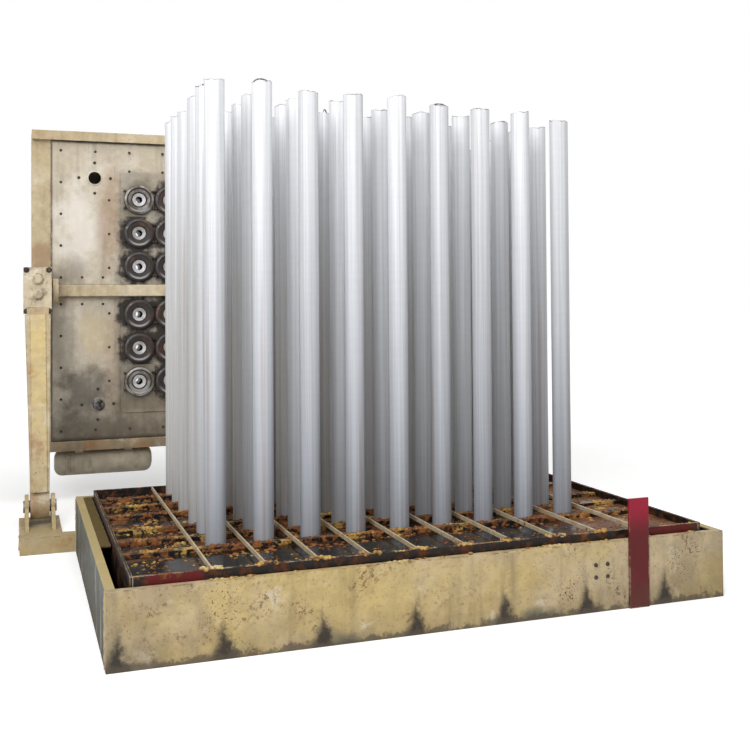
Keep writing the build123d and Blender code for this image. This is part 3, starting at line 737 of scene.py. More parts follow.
def cover_material(colours):
    """Olive-yellow paint of the cover plates."""
    return worn_paint("Cover Paint", colours.cover, colours.cover, colours, gloss=DULL_GLOSS,
                      Wear=0.8, Specks=0.5, Drips=0.5, Clean_Height=0.4, Dirty_Height=0.2,
                      Grime_Amount=0.3)


def header_material(colours):
    """Dirty buff paint of the water drums."""
    return worn_paint("Header Paint", colours.header, colours.header, colours, Wear=0.4,
                      Specks=0.45, Drips=0.8, Clean_Height=0.34, Dirty_Height=0.12,
                      Grime_Amount=0.55)


def red_material(colours):
    """Dark red paint of the upright bar, with painted light that makes it brighter where it stands
    clear of the beam.
    """
    def lighten(graph, colour, rough):
        # Painted light: the bar paler above the beam
        rise = graph.split(object_place(graph))[2]
        return graph.mix(graph.remap(rise, 0.34, 0.5), colour, colours.red_lit_top), rough
    return worn_paint("Red Paint", colours.red, colours.red, colours, lighten, Wear=0.7, Specks=0.25,
                      Drips=0.25, Clean_Height=0.2, Dirty_Height=-0.05, Grime_Amount=0.4)


def metal(name, light, dark, colours, metallic, rough_low, rough_high, scale, rust=0.0):
    """Bare metal with two tones, brushed unevenness and some rust."""
    material, graph, shader = new_material(name)
    place = object_place(graph)
    cloud = graph.noise(place, scale, 5.0, 0.6)
    grain = graph.noise(place, scale * 9, 3.0, 0.6)
    colour = graph.mix(graph.remap(cloud, 0.35, 0.65), light, dark)
    colour = graph.shaded(colour, graph.remap(grain, 0.3, 0.7, 0.85, 1.08))
    rough = graph.remap(cloud, 0.3, 0.7, rough_low, rough_high)
    if rust:
        rusty = patches(graph, scale * 1.7, rust, 0.1)
        colour = graph.lay(colour, colours.rust, rusty)
        metallic = graph.remap(rusty, 0.0, 1.0, metallic, 0.1)
        rough = graph.maths("ADD", rough, graph.product(rusty, 0.35), clamp=True)
    feed_shader(graph, shader, colour, rough, metallic)
    relief(graph, shader, grain, 0.25, 0.001, 0.002)
    return material


def billet_material(colours):
    """As-cast aluminium: streaked along its length, banded across, with painted light that makes it
    paler to its torn head and painted shade on the billets that stand further in.
    """
    material, graph, shader = new_material("Billet Skin")
    place = object_place(graph)
    _, depth, level = graph.split(place)[:3]
    # Painted light and shade: the billets darker near the platen and paler towards their heads
    share = graph.remap(level, BILLET_ROWS[0][0].z, BILLET_ROWS[0][1].z, smooth=False)
    colour = graph.mix(share, colours.billet_shaded_foot, colours.billet_lit_top)
    # Painted shade: the billets that stand further in are darker, most towards their feet
    inner_shade = graph.remap(depth, BILLET_ROWS[0][1].y, BILLET_ROWS[2][0].y)
    colour = graph.lay(colour, colours.billet_inner_shade, inner_shade, graph.remap(share, 0.95, 0.3, 0.0, 0.7))
    streaks = graph.noise(graph.stretch(place, 75.0, 75.0, 0.5), 1.0, 4.0, 0.62)
    bands = graph.noise(graph.stretch(place, 2.0, 2.0, 46.0), 1.0, 3.0, 0.55)
    each = graph.noise(graph.stretch(place, 3.1, 3.1, 0.0), 1.0, 1.0, 0.5)
    shade = graph.product(graph.remap(streaks, 0.3, 0.7, 0.82, 1.08),
                          graph.remap(bands, 0.3, 0.7, 0.985, 1.01),
                          graph.remap(each, 0.35, 0.65, 0.86, 1.04))
    colour = graph.shaded(colour, shade)
    stains = graph.noise(graph.stretch(place, 30.0, 30.0, 0.35), 1.0, 3.0, 0.5)
    colour = graph.lay(colour, colours.brown, graph.remap(stains, 0.62, 0.7, 0.0, 0.3))
    rise, away = graph.attribute("rise"), graph.attribute("away")
    torn = graph.sway(graph.noise(place, 26.0, 4.0, 0.65), 0.016)
    rim = graph.remap(graph.total(rise, torn), 0.997, 1.0)
    colour = graph.lay(colour, colours.grime, rim, 0.7)
    cap = graph.product(graph.remap(away, 0.99, 0.96, 0.0, 0.75),
                        graph.maths("GREATER_THAN", rise, 0.9995))
    colour = graph.lay(colour, colours.grime, cap)
    feed_shader(graph, shader, colour, graph.remap(streaks, 0.3, 0.7, 0.4, 0.55), BILLET_METAL,
                BILLET_GLOSS)
    height = graph.total(graph.product(bands, 0.6), graph.noise(place, 160.0, 2.0, 0.5))
    relief(graph, shader, height, 0.3, 0.0008, None)
    return material


def soot_material(colours):
    """Mould flanges black with soot and release oil, the metal grinning through, with a paler crescent
    painted as light low in each mould's dish.
    """
    material, graph, shader = new_material("Sooty Mould")
    place = object_place(graph)
    bare = patches(graph, 13.0, 0.35, 0.12)
    brown = patches(graph, 6.0, 0.5, 0.2, 3.0, 0.0, 1.0)
    colour = graph.lay(colours.soot, colours.rust, brown, 0.55)
    colour = graph.lay(colour, colours.brown, bare, 0.35)
    away, below, _ = mould_place(graph)
    # Painted light: a paler crescent on the lower slope of each mould's dish
    middle = (DISH_RADII[1] + DISH_RADII[2]) / 2
    band = graph.remap(graph.positive(graph.less(away, middle)), 0.012, 0.004)
    lit_crescent = graph.product(band, graph.remap(below, 0.03, 0.09))
    colour = graph.lay(colour, colours.mould_ring, lit_crescent, 0.45)
    fine = graph.noise(place, 60.0, 4.0, 0.6)
    feed_shader(graph, shader, colour, graph.remap(fine, 0.3, 0.7, 0.3, 0.62),
                graph.product(bare, 0.6))
    relief(graph, shader, fine, 0.4, 0.0015, 0.002)
    return material


def deck_material(colours):
    """The platen's deck: oily black at the front, rust and dried grease further in."""
    material, graph, shader = new_material("Wet Deck")
    place = object_place(graph)
    x, y, _ = graph.split(place)[:3]
    cloud = graph.noise(place, 5.0, 6.0, 0.65)
    shift = graph.sway(cloud, 0.5)
    right = graph.remap(graph.total(x, shift), 0.72, 0.92)
    dry = graph.most(graph.remap(graph.total(y, shift), 0.42, 0.62), right)
    rusty = graph.most(graph.product(dry, patches(graph, 7.5, 0.56, 0.16)),
                       graph.product(right, 0.55))
    fine = graph.noise(graph.stretch(place, 1.0, 2.4, 1.0), 26.0, 5.0, 0.65)
    tone = graph.mix(graph.remap(fine, 0.42, 0.6), colours.rust, colours.orange_rust)
    tone = graph.lay(tone, colours.yellow_crust, patches(graph, 11.0, 0.42, 0.1, 0.0, 2.0, 0.0))
    rough = graph.total(graph.remap(cloud, 0.3, 0.7, 0.1, 0.3), graph.product(rusty, 0.55))
    feed_shader(graph, shader, graph.mix(rusty, colours.deck, tone), rough, gloss=DECK_GLOSS)
    relief(graph, shader, graph.product(fine, rusty), 0.8, 0.006, None)
    return material


def crust_material(name, colours, main, other, black, lump):
    """Rust, dried grease and scale, from brown to yellow, over oily black."""
    material, graph, shader = new_material(name)
    place = object_place(graph)
    fine = graph.noise(place, 30.0, 6.0, 0.68)
    wide = graph.noise(graph.vector("ADD", place, (7.0, 3.0, 1.0)), 6.5, 5.0, 0.6)
    colour = graph.mix(graph.remap(fine, 0.4, 0.6), colours.rust, main)
    colour = graph.lay(colour, other, graph.remap(wide, 0.5, 0.64))
    dark = patches(graph, lump, black, 0.1, 5.0, 1.0, 0.0)
    colour = graph.lay(colour, colours.deck, dark)
    feed_shader(graph, shader, colour, graph.remap(dark, 0.0, 1.0, 0.82, 0.25))
    relief(graph, shader, fine, 0.8, 0.005, 0.003)
    return material


def platen_edge_material(colours):
    """The platen's upright edges: brown steel, bright on top, dark red at the front corners."""
    material, graph, shader = new_material("Platen Edge")
    place = object_place(graph)
    x, y, _ = graph.split(place)[:3]
    fine = graph.noise(place, 24.0, 6.0, 0.68)
    wide = graph.noise(place, 4.5, 5.0, 0.6)
    colour = graph.mix(graph.remap(fine, 0.45, 0.66), colours.deck, colours.rust)
    colour = graph.lay(colour, colours.orange_rust, graph.remap(wide, 0.58, 0.7, 0.0, 0.7))
    out = graph.positive(x)
    painted = graph.product(graph.remap(out, RED_BAY[0], RED_BAY[0] + 0.03),
                            graph.remap(out, RED_BAY[1], RED_BAY[1] - 0.03),
                            graph.remap(y, 0.12, 0.06), graph.remap(fine, 0.62, 0.5))
    colour = graph.lay(colour, colours.red, painted)
    wear = placed(graph, edge_wear_group(), Width=0.006, Scale=14.0, Amount=1.0)[0]
    colour = graph.lay(colour, colours.bar_steel, wear)
    feed_shader(graph, shader, colour, graph.remap(fine, 0.35, 0.65, 0.35, 0.75),
                graph.product(wear, 0.8), DECK_GLOSS)
    relief(graph, shader, fine, 0.5, 0.003, 0.002)
    return material


def refractory_material(colours):
    """Pale board with red wash and grey splashes of metal."""
    material, graph, shader = new_material("Refractory")
    fine = graph.noise(object_place(graph), 40.0, 5.0, 0.6)
    grey = patches(graph, 8.0, 0.45, 0.15, 1.0, 4.0, 0.0)
    colour = graph.lay(colours.refractory, colours.grime, grey, 0.6)
    colour = graph.lay(colour, colours.red, patches(graph, 5.0, 0.34, 0.12), 0.5)
    colour = graph.shaded(colour, graph.remap(fine, 0.3, 0.7, 0.88, 1.05))
    feed_shader(graph, shader, colour, graph.remap(fine, 0.3, 0.7, 0.8, 0.95))
    relief(graph, shader, fine, 0.6, 0.003, 0.003)
    return material


def paint_nodes(material, *names):
    """Gives CAD nodes their finish."""
    for name in names:
        data = FRAME["nodes"][name].data
        data.materials.clear()
        data.materials.append(material)


def turn_to(direction):
    """The turn, as angles, that points a piece's own Z along a direction."""
    return Vector(direction).to_track_quat("Z", "Y").to_euler()


def spread_on_points(graph, source, piece, spin=True):
    """Copies of a piece on every point, facing one way, each spun by its own angle."""
    turn = graph.first("FunctionNodeEulerToRotation", {"Euler": source["Facing"]})
    if spin:
        angle = graph.node("FunctionNodeRandomValue", {3: 2 * pi, "Seed": source["Seed"]},
                           data_type="FLOAT")
        spun = graph.first("FunctionNodeAxisAngleToRotation",
                           {"Axis": (0.0, 0.0, 1.0), "Angle": angle.outputs[1]})
        turn = graph.first("FunctionNodeRotateRotation", {"Rotation": turn, "Rotate By": spun},
                           rotation_space="LOCAL")
    points = graph.first("GeometryNodeMeshToPoints", {"Mesh": source["Geometry"]})
    return graph.first("GeometryNodeInstanceOnPoints",
                       {"Points": points, "Instance": piece, "Rotation": turn})


def finished(graph, source, geometry, smooth=False):
    """The end of every tree: real faces, their shading unless it is set, and their material."""
    made = graph.first("GeometryNodeRealizeInstances", {"Geometry": geometry})
    if smooth is not None:
        made = graph.first("GeometryNodeSetShadeSmooth", {"Geometry": made, "Shade Smooth": smooth})
    made = graph.first("GeometryNodeSetMaterial", {"Geometry": made, "Material": source["Material"]})
    return {"Geometry": made}


def bolt_tree():
    """A head with a chamfered crown on every point, over a washer."""
    def build(graph, source):
        head = graph.first("GeometryNodeMeshCylinder",
                           {"Vertices": source["Sides"], "Side Segments": 3,
                            "Radius": source["Radius"], "Depth": source["Height"]})
        place = graph.first("GeometryNodeInputPosition")
        crown = graph.maths("GREATER_THAN", graph.split(place)[2],
                            graph.product(source["Height"], 0.4))
        head = graph.first("GeometryNodeSetPosition",
                           {"Geometry": head, "Selection": crown,
                            "Offset": graph.stretch(place, -0.25, -0.25, 0.0)})
        lift = graph.join(0.0, 0.0, graph.product(source["Height"], 0.5))
        head = graph.first("GeometryNodeTransform", {"Geometry": head, "Translation": lift})
        washer = graph.first("GeometryNodeMeshCylinder",
                             {"Vertices": 16, "Depth": graph.product(source["Height"], 0.3),
                              "Radius": graph.product(source["Radius"], source["Washer"])})
        both = graph.node("GeometryNodeJoinGeometry")
        for piece in (head, washer):
            graph.feed(both.inputs[0], piece)
        return finished(graph, source, spread_on_points(graph, source, both.outputs[0]))
    return shape_group("Bolt Heads", {"Radius": 0.01, "Height": 0.006, "Sides": 6, "Washer": 1.4,
                                      "Facing": (0.0, 0.0, 0.0), "Seed": 1}, build)


def ring_tree():
    """A turned ring of four-cornered section on every point."""
    def build(graph, source):
        circle = graph.first("GeometryNodeCurvePrimitiveCircle",
                             {"Resolution": source["Steps"], "Radius": source["Inner Radius"]})
        width = graph.less(source["Outer Radius"], source["Inner Radius"])
        corners = {"Point 1": (0.0, "Inner Front"), "Point 2": (width, "Outer Front"),
                   "Point 3": (width, "Back"), "Point 4": (0.0, "Back")}
        section = {name: graph.join(across, graph.product(source[height], -1.0), 0.0)
                   for name, (across, height) in corners.items()}
        section = graph.first("GeometryNodeCurvePrimitiveQuadrilateral", section, mode="POINTS")
        ring = graph.first("GeometryNodeCurveToMesh", {"Curve": circle, "Profile Curve": section})
        smooth = graph.maths("LESS_THAN", graph.first("GeometryNodeInputMeshEdgeAngle"), 0.5)
        ring = graph.first("GeometryNodeSetShadeSmooth",
                           {"Geometry": ring, "Shade Smooth": smooth}, domain="EDGE")
        return finished(graph, source, spread_on_points(graph, source, ring, spin=False), None)
    return shape_group("Turned Rings",
                       {"Inner Radius": 0.05, "Outer Radius": 0.1, "Inner Front": 0.005,
                        "Outer Front": 0.01, "Back": 0.0, "Steps": 40, "Facing": (0.0, 0.0, 0.0)},
                       build)


def billet_tree():
    """A cast billet on every point, its head torn and sunken where the metal froze last."""
    def build(graph, source):
        billet = graph.first("GeometryNodeMeshCylinder",
                             {"Vertices": 48, "Side Segments": 24, "Fill Segments": 6,
                              "Radius": source["Radius"], "Depth": 1.0},
                             fill_type="TRIANGLE_FAN")
        billet = graph.first("GeometryNodeTransform",
                             {"Geometry": billet, "Translation": (0.0, 0.0, 0.5)})
        place = graph.first("GeometryNodeInputPosition")
        out = graph.length(graph.stretch(place, 1.0, 1.0, 0.0))
        for name, value in (("rise", graph.split(place)[2]),
                            ("away", graph.maths("DIVIDE", out, source["Radius"]))):
            billet = graph.first("GeometryNodeStoreNamedAttribute",
                                 {"Geometry": billet, "Name": name, "Value": value})
        length = graph.first("GeometryNodeInputNamedAttribute", {"Name": "length"})
        points = graph.first("GeometryNodeMeshToPoints", {"Mesh": source["Geometry"]})
        row = graph.first("GeometryNodeInstanceOnPoints",
                          {"Points": points, "Instance": billet,
                           "Scale": graph.join(1.0, 1.0, length)})
        row = graph.first("GeometryNodeRealizeInstances", {"Geometry": row})
        rise = graph.first("GeometryNodeInputNamedAttribute", {"Name": "rise"})
        away = graph.first("GeometryNodeInputNamedAttribute", {"Name": "away"})
        torn = graph.less(graph.noise(place, 55.0, 3.0, 0.7), 0.5)
        torn = graph.total(torn, graph.sway(graph.noise(place, 8.0, 2.0, 0.4), 1.8))
        torn = graph.product(torn, source["Ragged"])
        sunk = graph.product(graph.less(1.0, graph.maths("POWER", away, 4.0)), source["Sink"])
        drop = graph.less(torn, sunk)
        drop = graph.maths("MINIMUM", graph.less(drop, source["Ragged"]), 0.0)
        head = graph.maths("GREATER_THAN", rise, 0.999)
        row = graph.first("GeometryNodeSetPosition",
                          {"Geometry": row, "Selection": head,
                           "Offset": graph.join(0.0, 0.0, drop)})
        return finished(graph, source, row)
    return shape_group("Billets", {"Radius": 0.045, "Ragged": 0.02, "Sink": 0.03}, build)


def crumb_tree():
    """Lumps of rust and grease, strewn over a surface."""
    def build(graph, source):
        strewn = graph.node("GeometryNodeDistributePointsOnFaces",
                            {"Mesh": source["Geometry"], "Density": source["Density"],
                             "Seed": source["Seed"]})
        place = graph.first("GeometryNodeInputPosition")
        heap = graph.noise(place, source["Heap Scale"], 3.0, 0.6)
        kept = graph.maths("LESS_THAN", heap, source["Bare Share"])
        points = graph.first("GeometryNodeDeleteGeometry",
                             {"Geometry": strewn.outputs["Points"], "Selection": kept})
        lump = graph.first("GeometryNodeMeshIcoSphere",
                           {"Radius": 1.0, "Subdivisions": source["Detail"]})
        rough = graph.product(graph.less(graph.noise(place, 1.7, 3.0, 0.6), 0.4), 1.1)
        swell = graph.vector("MULTIPLY", place, graph.join(rough, rough, rough))
        lump = graph.first("GeometryNodeSetPosition", {"Geometry": lump, "Offset": swell})
        size = graph.node("FunctionNodeRandomValue", {2: 0.25, 3: 1.0, "Seed": source["Seed"]},
                          data_type="FLOAT")
        size = graph.product(graph.maths("POWER", size.outputs[1], 2.0), source["Size"])
        flat = graph.product(size, source["Flatness"])
        heaps = graph.first("GeometryNodeInstanceOnPoints",
                            {"Points": points, "Instance": lump,
                             "Scale": graph.join(size, size, flat)})
        return finished(graph, source, heaps, smooth=True)
    return shape_group("Crumbs", {"Density": 400.0, "Heap Scale": 9.0, "Bare Share": 0.5,
                                  "Size": 0.01, "Flatness": 0.5, "Detail": 2, "Seed": 1}, build)


def bead_tree():
    """A rippled bead or thread along every edge."""
    def build(graph, source):
        line = graph.first("GeometryNodeMeshToCurve", {"Mesh": source["Geometry"]})
        line = graph.node("GeometryNodeResampleCurve", {"Curve": line, "Length": source["Ripple"]},
                          mode="LENGTH")
        place = graph.first("GeometryNodeInputPosition")
        swell = graph.remap(graph.noise(place, 90.0, 2.0, 0.5), 0.3, 0.7, 0.6, 1.2)
        section = graph.first("GeometryNodeCurvePrimitiveCircle",
                              {"Resolution": 8, "Radius": source["Bead"]})
        bead = graph.first("GeometryNodeCurveToMesh",
                           {"Curve": line.outputs[0], "Profile Curve": section, "Scale": swell,
                            "Fill Caps": True})
        return finished(graph, source, bead, smooth=True)
    return shape_group("Beads", {"Bead": 0.006, "Ripple": 0.012}, build)


def mesh_piece(name, vertices, edges=(), faces=()):
    """A new mesh object at the origin."""
    mesh = bpy.data.meshes.new(name)
    mesh.from_pydata([tuple(v) for v in vertices], edges, faces)
    mesh.update()
    piece = bpy.data.objects.new(name, mesh)
    bpy.context.scene.collection.objects.link(piece)
    return piece


def plate_outline(half, thickness):
    """The section of a flat bar that lies on another piece, its outer edges chamfered."""
    return ((-half, 0.0), (-half, thickness - PLATE_CHAMFER), (PLATE_CHAMFER - half, thickness),
            (half - PLATE_CHAMFER, thickness), (half, thickness - PLATE_CHAMFER), (half, 0.0))


def bars_piece(name, bars, paint):
    """Straight bars in one piece, each given by the outlines of its two ends."""
    shape = bmesh.new()
    for ends in bars:
        first, last = [[shape.verts.new(point) for point in outline] for outline in ends]
        shape.faces.new(first)
        shape.faces.new(last)
        for i in range(len(first)):
            j = (i + 1) % len(first)
            shape.faces.new((first[i], first[j], last[j], last[i]))
    bmesh.ops.recalc_face_normals(shape, faces=shape.faces)
    piece = mesh_piece(name, ())
    shape.to_mesh(piece.data)
    shape.free()
    piece.data.materials.append(paint)
    return piece


def grow(piece, tree, **values):
    """Runs a tree on a piece and keeps the result as the piece's plain mesh."""
    modifier = piece.modifiers.new(tree.name, "NODES")
    modifier.node_group = tree
    sockets = {item.name: item.identifier for item in tree.interface.items_tree
               if item.item_type == "SOCKET" and item.in_out == "INPUT"}
    for name, value in values.items():
        modifier[sockets[name.replace("_", " ")]] = value
    shown = piece.evaluated_get(bpy.context.evaluated_depsgraph_get())
    shape = bpy.data.meshes.new_from_object(shown)
    piece.modifiers.remove(modifier)
    piece.data = shape
    return piece


def seat(piece, body, slot, *replaced):
    """Hands a finished piece to the frame."""
    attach(piece, body)
    if replaced:
        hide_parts(*replaced)


def middle_of(name):
    """The middle of a node's box."""
    low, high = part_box(name)
    return (low + high) / 2


def both_sides(points):
    """Points and their mirror images across the middle of the machine."""
    return [*points, *[(-x, y, z) for x, y, z in points]]


def nodes_of(slot):
    """The nodes that the record gives to a slot."""
    return [part["node"] for part in FRAME["record"]["subparts"] if part["material_slot"] == slot]


FRONT = turn_to((0, -1, 0))
BACK = turn_to((0, 1, 0))


def bolt_heads(name, points, size, material, body, slot, facing=FRONT, **values):
    """Bolt heads, screws or caps in one piece. size is their radius and height."""
    piece = grow(mesh_piece(name, points), bolt_tree(), Facing=facing, Radius=size[0],
                 Height=size[1], Material=material, **values)
    seat(piece, body, slot)


def turned_rings(name, points, radii, heights, material, slot, **values):
    """Rings on the table's face in one piece, with their radii and heights, inner one first."""
    piece = grow(mesh_piece(name, points), ring_tree(), Facing=FRONT, Inner_Radius=radii[0],
                 Outer_Radius=radii[1], Inner_Front=heights[0], Outer_Front=heights[1],
                 Material=material, **values)
    seat(piece, "table", slot)


def backdrop_rays(graph):
    """One where the camera, metal or glass looks at the surroundings, and zero for their light."""
    path = graph.node("ShaderNodeLightPath").outputs
    return graph.most(path["Is Camera Ray"], path["Is Glossy Ray"], path["Is Transmission Ray"])


class CASTING_OT_stage(bpy.types.Operator):
    """Makes the pale floor, the soft light and the photograph's camera"""
    bl_idname = "casting.stage"
    bl_label = "Stage"

    def execute(self, context):
        self.light_world(context.scene)
        self.lay_floor()
        self.hang_lamps()
        context.scene.camera = self.place_camera()
        context.scene.view_settings.view_transform = "Standard"
        return {"FINISHED"}

    def light_world(self, scene):
        """White where the camera, metal and glass look out, and soft grey as light."""
        world = bpy.data.worlds.new("Studio")
        world.use_nodes = True
        scene.world = world
        graph = Graph(world.node_tree)
        backdrop = world.node_tree.nodes["Background"]
        backdrop.inputs["Color"].default_value = (1.0, 1.0, 1.0, 1.0)
        graph.feed(backdrop.inputs["Strength"],
                   graph.remap(backdrop_rays(graph), 0.0, 1.0, WORLD_LIGHT, 1.0, smooth=False))

    def lay_floor(self):
        """A floor that looks white and keeps the machine's shadow, with painted shade where the pit
        opens.
        """
        material, graph, shader = new_material("Studio Floor")
        place = object_place(graph)
        x, y, _ = graph.split(place)[:3]
        out = graph.positive(graph.less(y, PIT_MIDDLE))
        open_floor = graph.most(graph.maths("GREATER_THAN", graph.positive(x),
                                            FRAME_HIGH.x - PIT_INSET),
                                graph.maths("GREATER_THAN", out, PIT_REACH - PIT_INSET))
        cloud = graph.noise(place, 0.4, 3.0, 0.5)
        shade = graph.product(graph.remap(cloud, 0.3, 0.7, 0.86, 0.9),
                              graph.remap(open_floor, 0.0, 1.0, PIT_SHADE_TONE, 1.0))
        feed_shader(graph, shader, graph.join(shade, shade, shade), 0.9)
        glow = graph.remap(graph.length(place), GLOW_START, GLOW_END, FLOOR_GLOW, FAR_GLOW)
        shader.inputs["Emission Color"].default_value = (1.0, 1.0, 1.0, 1.0)
        graph.feed(shader.inputs["Emission Strength"],
                   graph.product(backdrop_rays(graph), glow, open_floor))
        half = FLOOR_SIZE / 2
        floor = mesh_piece("Floor", [(-half, -half, 0), (half, -half, 0), (half, half, 0),
                                     (-half, half, 0)], faces=[(0, 1, 2, 3)])
        floor.data.materials.append(material)

    def hang_lamps(self):
        """A large soft key light from the front left, and a wide one overhead."""
        for name, place, size, power in LAMPS:
            lamp = bpy.data.lights.new(name, "AREA")
            lamp.size = size
            lamp.energy = power
            piece = bpy.data.objects.new(name, lamp)
            piece.location = place
            look = Vector(LAMP_TARGET) - Vector(place)
            piece.rotation_euler = look.to_track_quat("-Z", "Y").to_euler()
            bpy.context.scene.collection.objects.link(piece)

    def place_camera(self):
        """The camera where the photograph was taken, cropped to the machine."""
        right = Vector((cos(CAMERA_YAW), -sin(CAMERA_YAW), 0.0))
        ahead = Vector((sin(CAMERA_YAW) * cos(CAMERA_PITCH), cos(CAMERA_YAW) * cos(CAMERA_PITCH),
                        sin(CAMERA_PITCH)))
        up = right.cross(ahead)
        x_axis = right * cos(CAMERA_ROLL) + up * sin(CAMERA_ROLL)
        y_axis = up * cos(CAMERA_ROLL) - right * sin(CAMERA_ROLL)
        turn = Matrix((x_axis, y_axis, -ahead)).transposed().to_4x4()
        data = bpy.data.cameras.new("Photograph")
        data.sensor_width = SENSOR_WIDTH
        data.lens = PHOTO_FOCAL / PHOTO_SPAN * SENSOR_WIDTH
        data.shift_x = 0.5 - (PHOTO_CENTRE[0] - PHOTO_LEFT) / PHOTO_SPAN
        data.shift_y = (PHOTO_CENTRE[1] - PHOTO_TOP) / PHOTO_SPAN - 0.5
        camera = bpy.data.objects.new("Photograph", data)
        camera.matrix_world = Matrix.Translation(CAMERA_PLACE) @ turn
        bpy.context.scene.collection.objects.link(camera)
        return camera


class CASTING_OT_frame(bpy.types.Operator):
    """Paints the pit frame, bolts its front beam and lays its weld beads"""
    bl_idname = "casting.frame"
    bl_label = "Pit Frame"

    def execute(self, context):
        colours, sizes = context.scene.casting_colours, context.scene.casting_sizes
        paint_nodes(beam_material(colours), "front_beam", "rear_beam")
        arm_paint = cream_material("Arm Paint", colours.cream, colours, 0.5)
        paint_nodes(arm_paint, "hinge_cross_beam", "left_hinge_bracket", "right_hinge_bracket")
        paint_nodes(side_material(colours), "left_beam", "right_beam")
        paint_nodes(red_material(colours), "red_post")
        paint_nodes(cover_material(colours), "cover_plates")
        paint_nodes(metal("Turned Steel", colours.pin, colours.grime, colours, 0.85, 0.3, 0.5,
                          12.0, 0.2), "hinge_pins", "trunnion_pins")
        dark = metal("Dark Bolts", colours.soot, colours.grime, colours, 0.5, 0.4, 0.6, 30.0, 0.1)
        bolt_heads("beam_bolts", [(x, FRAME_LOW.y, z) for x, z in BEAM_BOLTS], BEAM_BOLT, dark,
                   "root", "pin_steel", Sides=16, Washer=1.15)
        vertices = self.weld_ends()
        welds = mesh_piece("frame_welds", vertices,
                           [(i, i + 1) for i in range(0, len(vertices), 2)])
        grow(welds, bead_tree(), Bead=sizes.bead, Material=arm_paint)
        seat(welds, "root", "cream_paint")
        return {"FINISHED"}

    def weld_ends(self):
        """Both ends of each upright weld: the frame's corners, and the front of the brackets."""
        foot, head = WELD_ENDS
        ends = []
        for x in (FRAME_LOW.x, FRAME_HIGH.x):
            for y in (FRAME_HIGH.y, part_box("rear_beam")[0].y):
                ends += [(x, y, FRAME_LOW.z + foot), (x, y, FRAME_HIGH.z - head)]
        for name in ("left_hinge_bracket", "right_hinge_bracket"):
            low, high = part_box(name)
            for x in (low.x, high.x):
                ends += [(x, low.y, low.z + foot), (x, low.y, CROSS_BEAM_TOP)]
        return ends


class CASTING_OT_arms(bpy.types.Operator):
    """Paints and plates the swing arms and bolts their trunnion blocks"""
    bl_idname = "casting.arms"
    bl_label = "Swing Arms"

    def execute(self, context):
        colours, sizes = context.scene.casting_colours, context.scene.casting_sizes
        # The arms and their flanges take a darker copy of the cream as painted shade of the arms'
        # sides; the raised strips keep the Arm Paint
        shaded = cream_material("Shaded Arm Flange Paint", colours.faded_and_shaded, colours, 0.5, Clean_Height=1.8,
                                Dirty_Height=-0.6, Grime_Amount=0.3)
        paint_nodes(shaded, "left_arm", "right_arm")
        self.plate_arms("arm_flanges", FLANGE_HALF_WIDTHS, 0.0, FLANGE_THICKNESS, shaded)
        self.plate_arms("arm_strips", STRIP_HALF_WIDTHS, FLANGE_THICKNESS, STRIP_THICKNESS,
                        bpy.data.materials["Arm Paint"])
        mottled = mottled_block_material(colours)
        paint_nodes(mottled, "trunnion_blocks")
        low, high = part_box("trunnion_blocks")
        x, z = middle_of("left_arm").x, (low.z + high.z) / 2
        corners = [(x + a * BLOCK_BOLTS[0], low.y, z + b * BLOCK_BOLTS[1])
                   for a in (-1, 1) for b in (-1, 1)]
        bolt_heads("block_bolts", both_sides(corners), (sizes.bolt_radius, sizes.bolt_height),
                   bpy.data.materials["Dark Bolts"], "arms", "pin_steel")
        bolt_heads("block_caps", both_sides([(x, low.y, z + rise) for rise in CAP_RISES]), BLOCK_CAP,
                   mottled, "arms", "cream_paint", Sides=20, Washer=1.15)
        return {"FINISHED"}

    def plate_arms(self, name, half_widths, lift, thickness, paint):
        """A chamfered plate up the front of each arm, cut level at both ends."""
        foot, head = middle_of("hinge_pins"), middle_of("trunnion_pins")
        along = Vector((0.0, head.y - foot.y, head.z - foot.z)).normalized()
        out = Vector((0.0, -along.z, along.y))
        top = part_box("trunnion_blocks")[0].z - PLATE_HEAD_GAP
        bars = []
        for side in (-1, 1):
            ends = []
            for height in (PLATE_FOOT, top):
                share = (height - foot.z) / (head.z - foot.z)
                half = half_widths[0] + share * (half_widths[1] - half_widths[0])
                depth = ARM_HALF_DEPTHS[0] + share * (ARM_HALF_DEPTHS[1] - ARM_HALF_DEPTHS[0])
                outline = []
                for across, rise in plate_outline(half, thickness):
                    raised = out * (depth + lift + rise)
                    run = (height - foot.z - raised.z) / along.z
                    place = Vector((side * -middle_of("left_arm").x + across, foot.y, foot.z))
                    outline.append(place + along * run + raised)
                ends.append(outline)
            bars.append(ends)
        seat(bars_piece(name, bars, paint), "arms", "cream_paint")


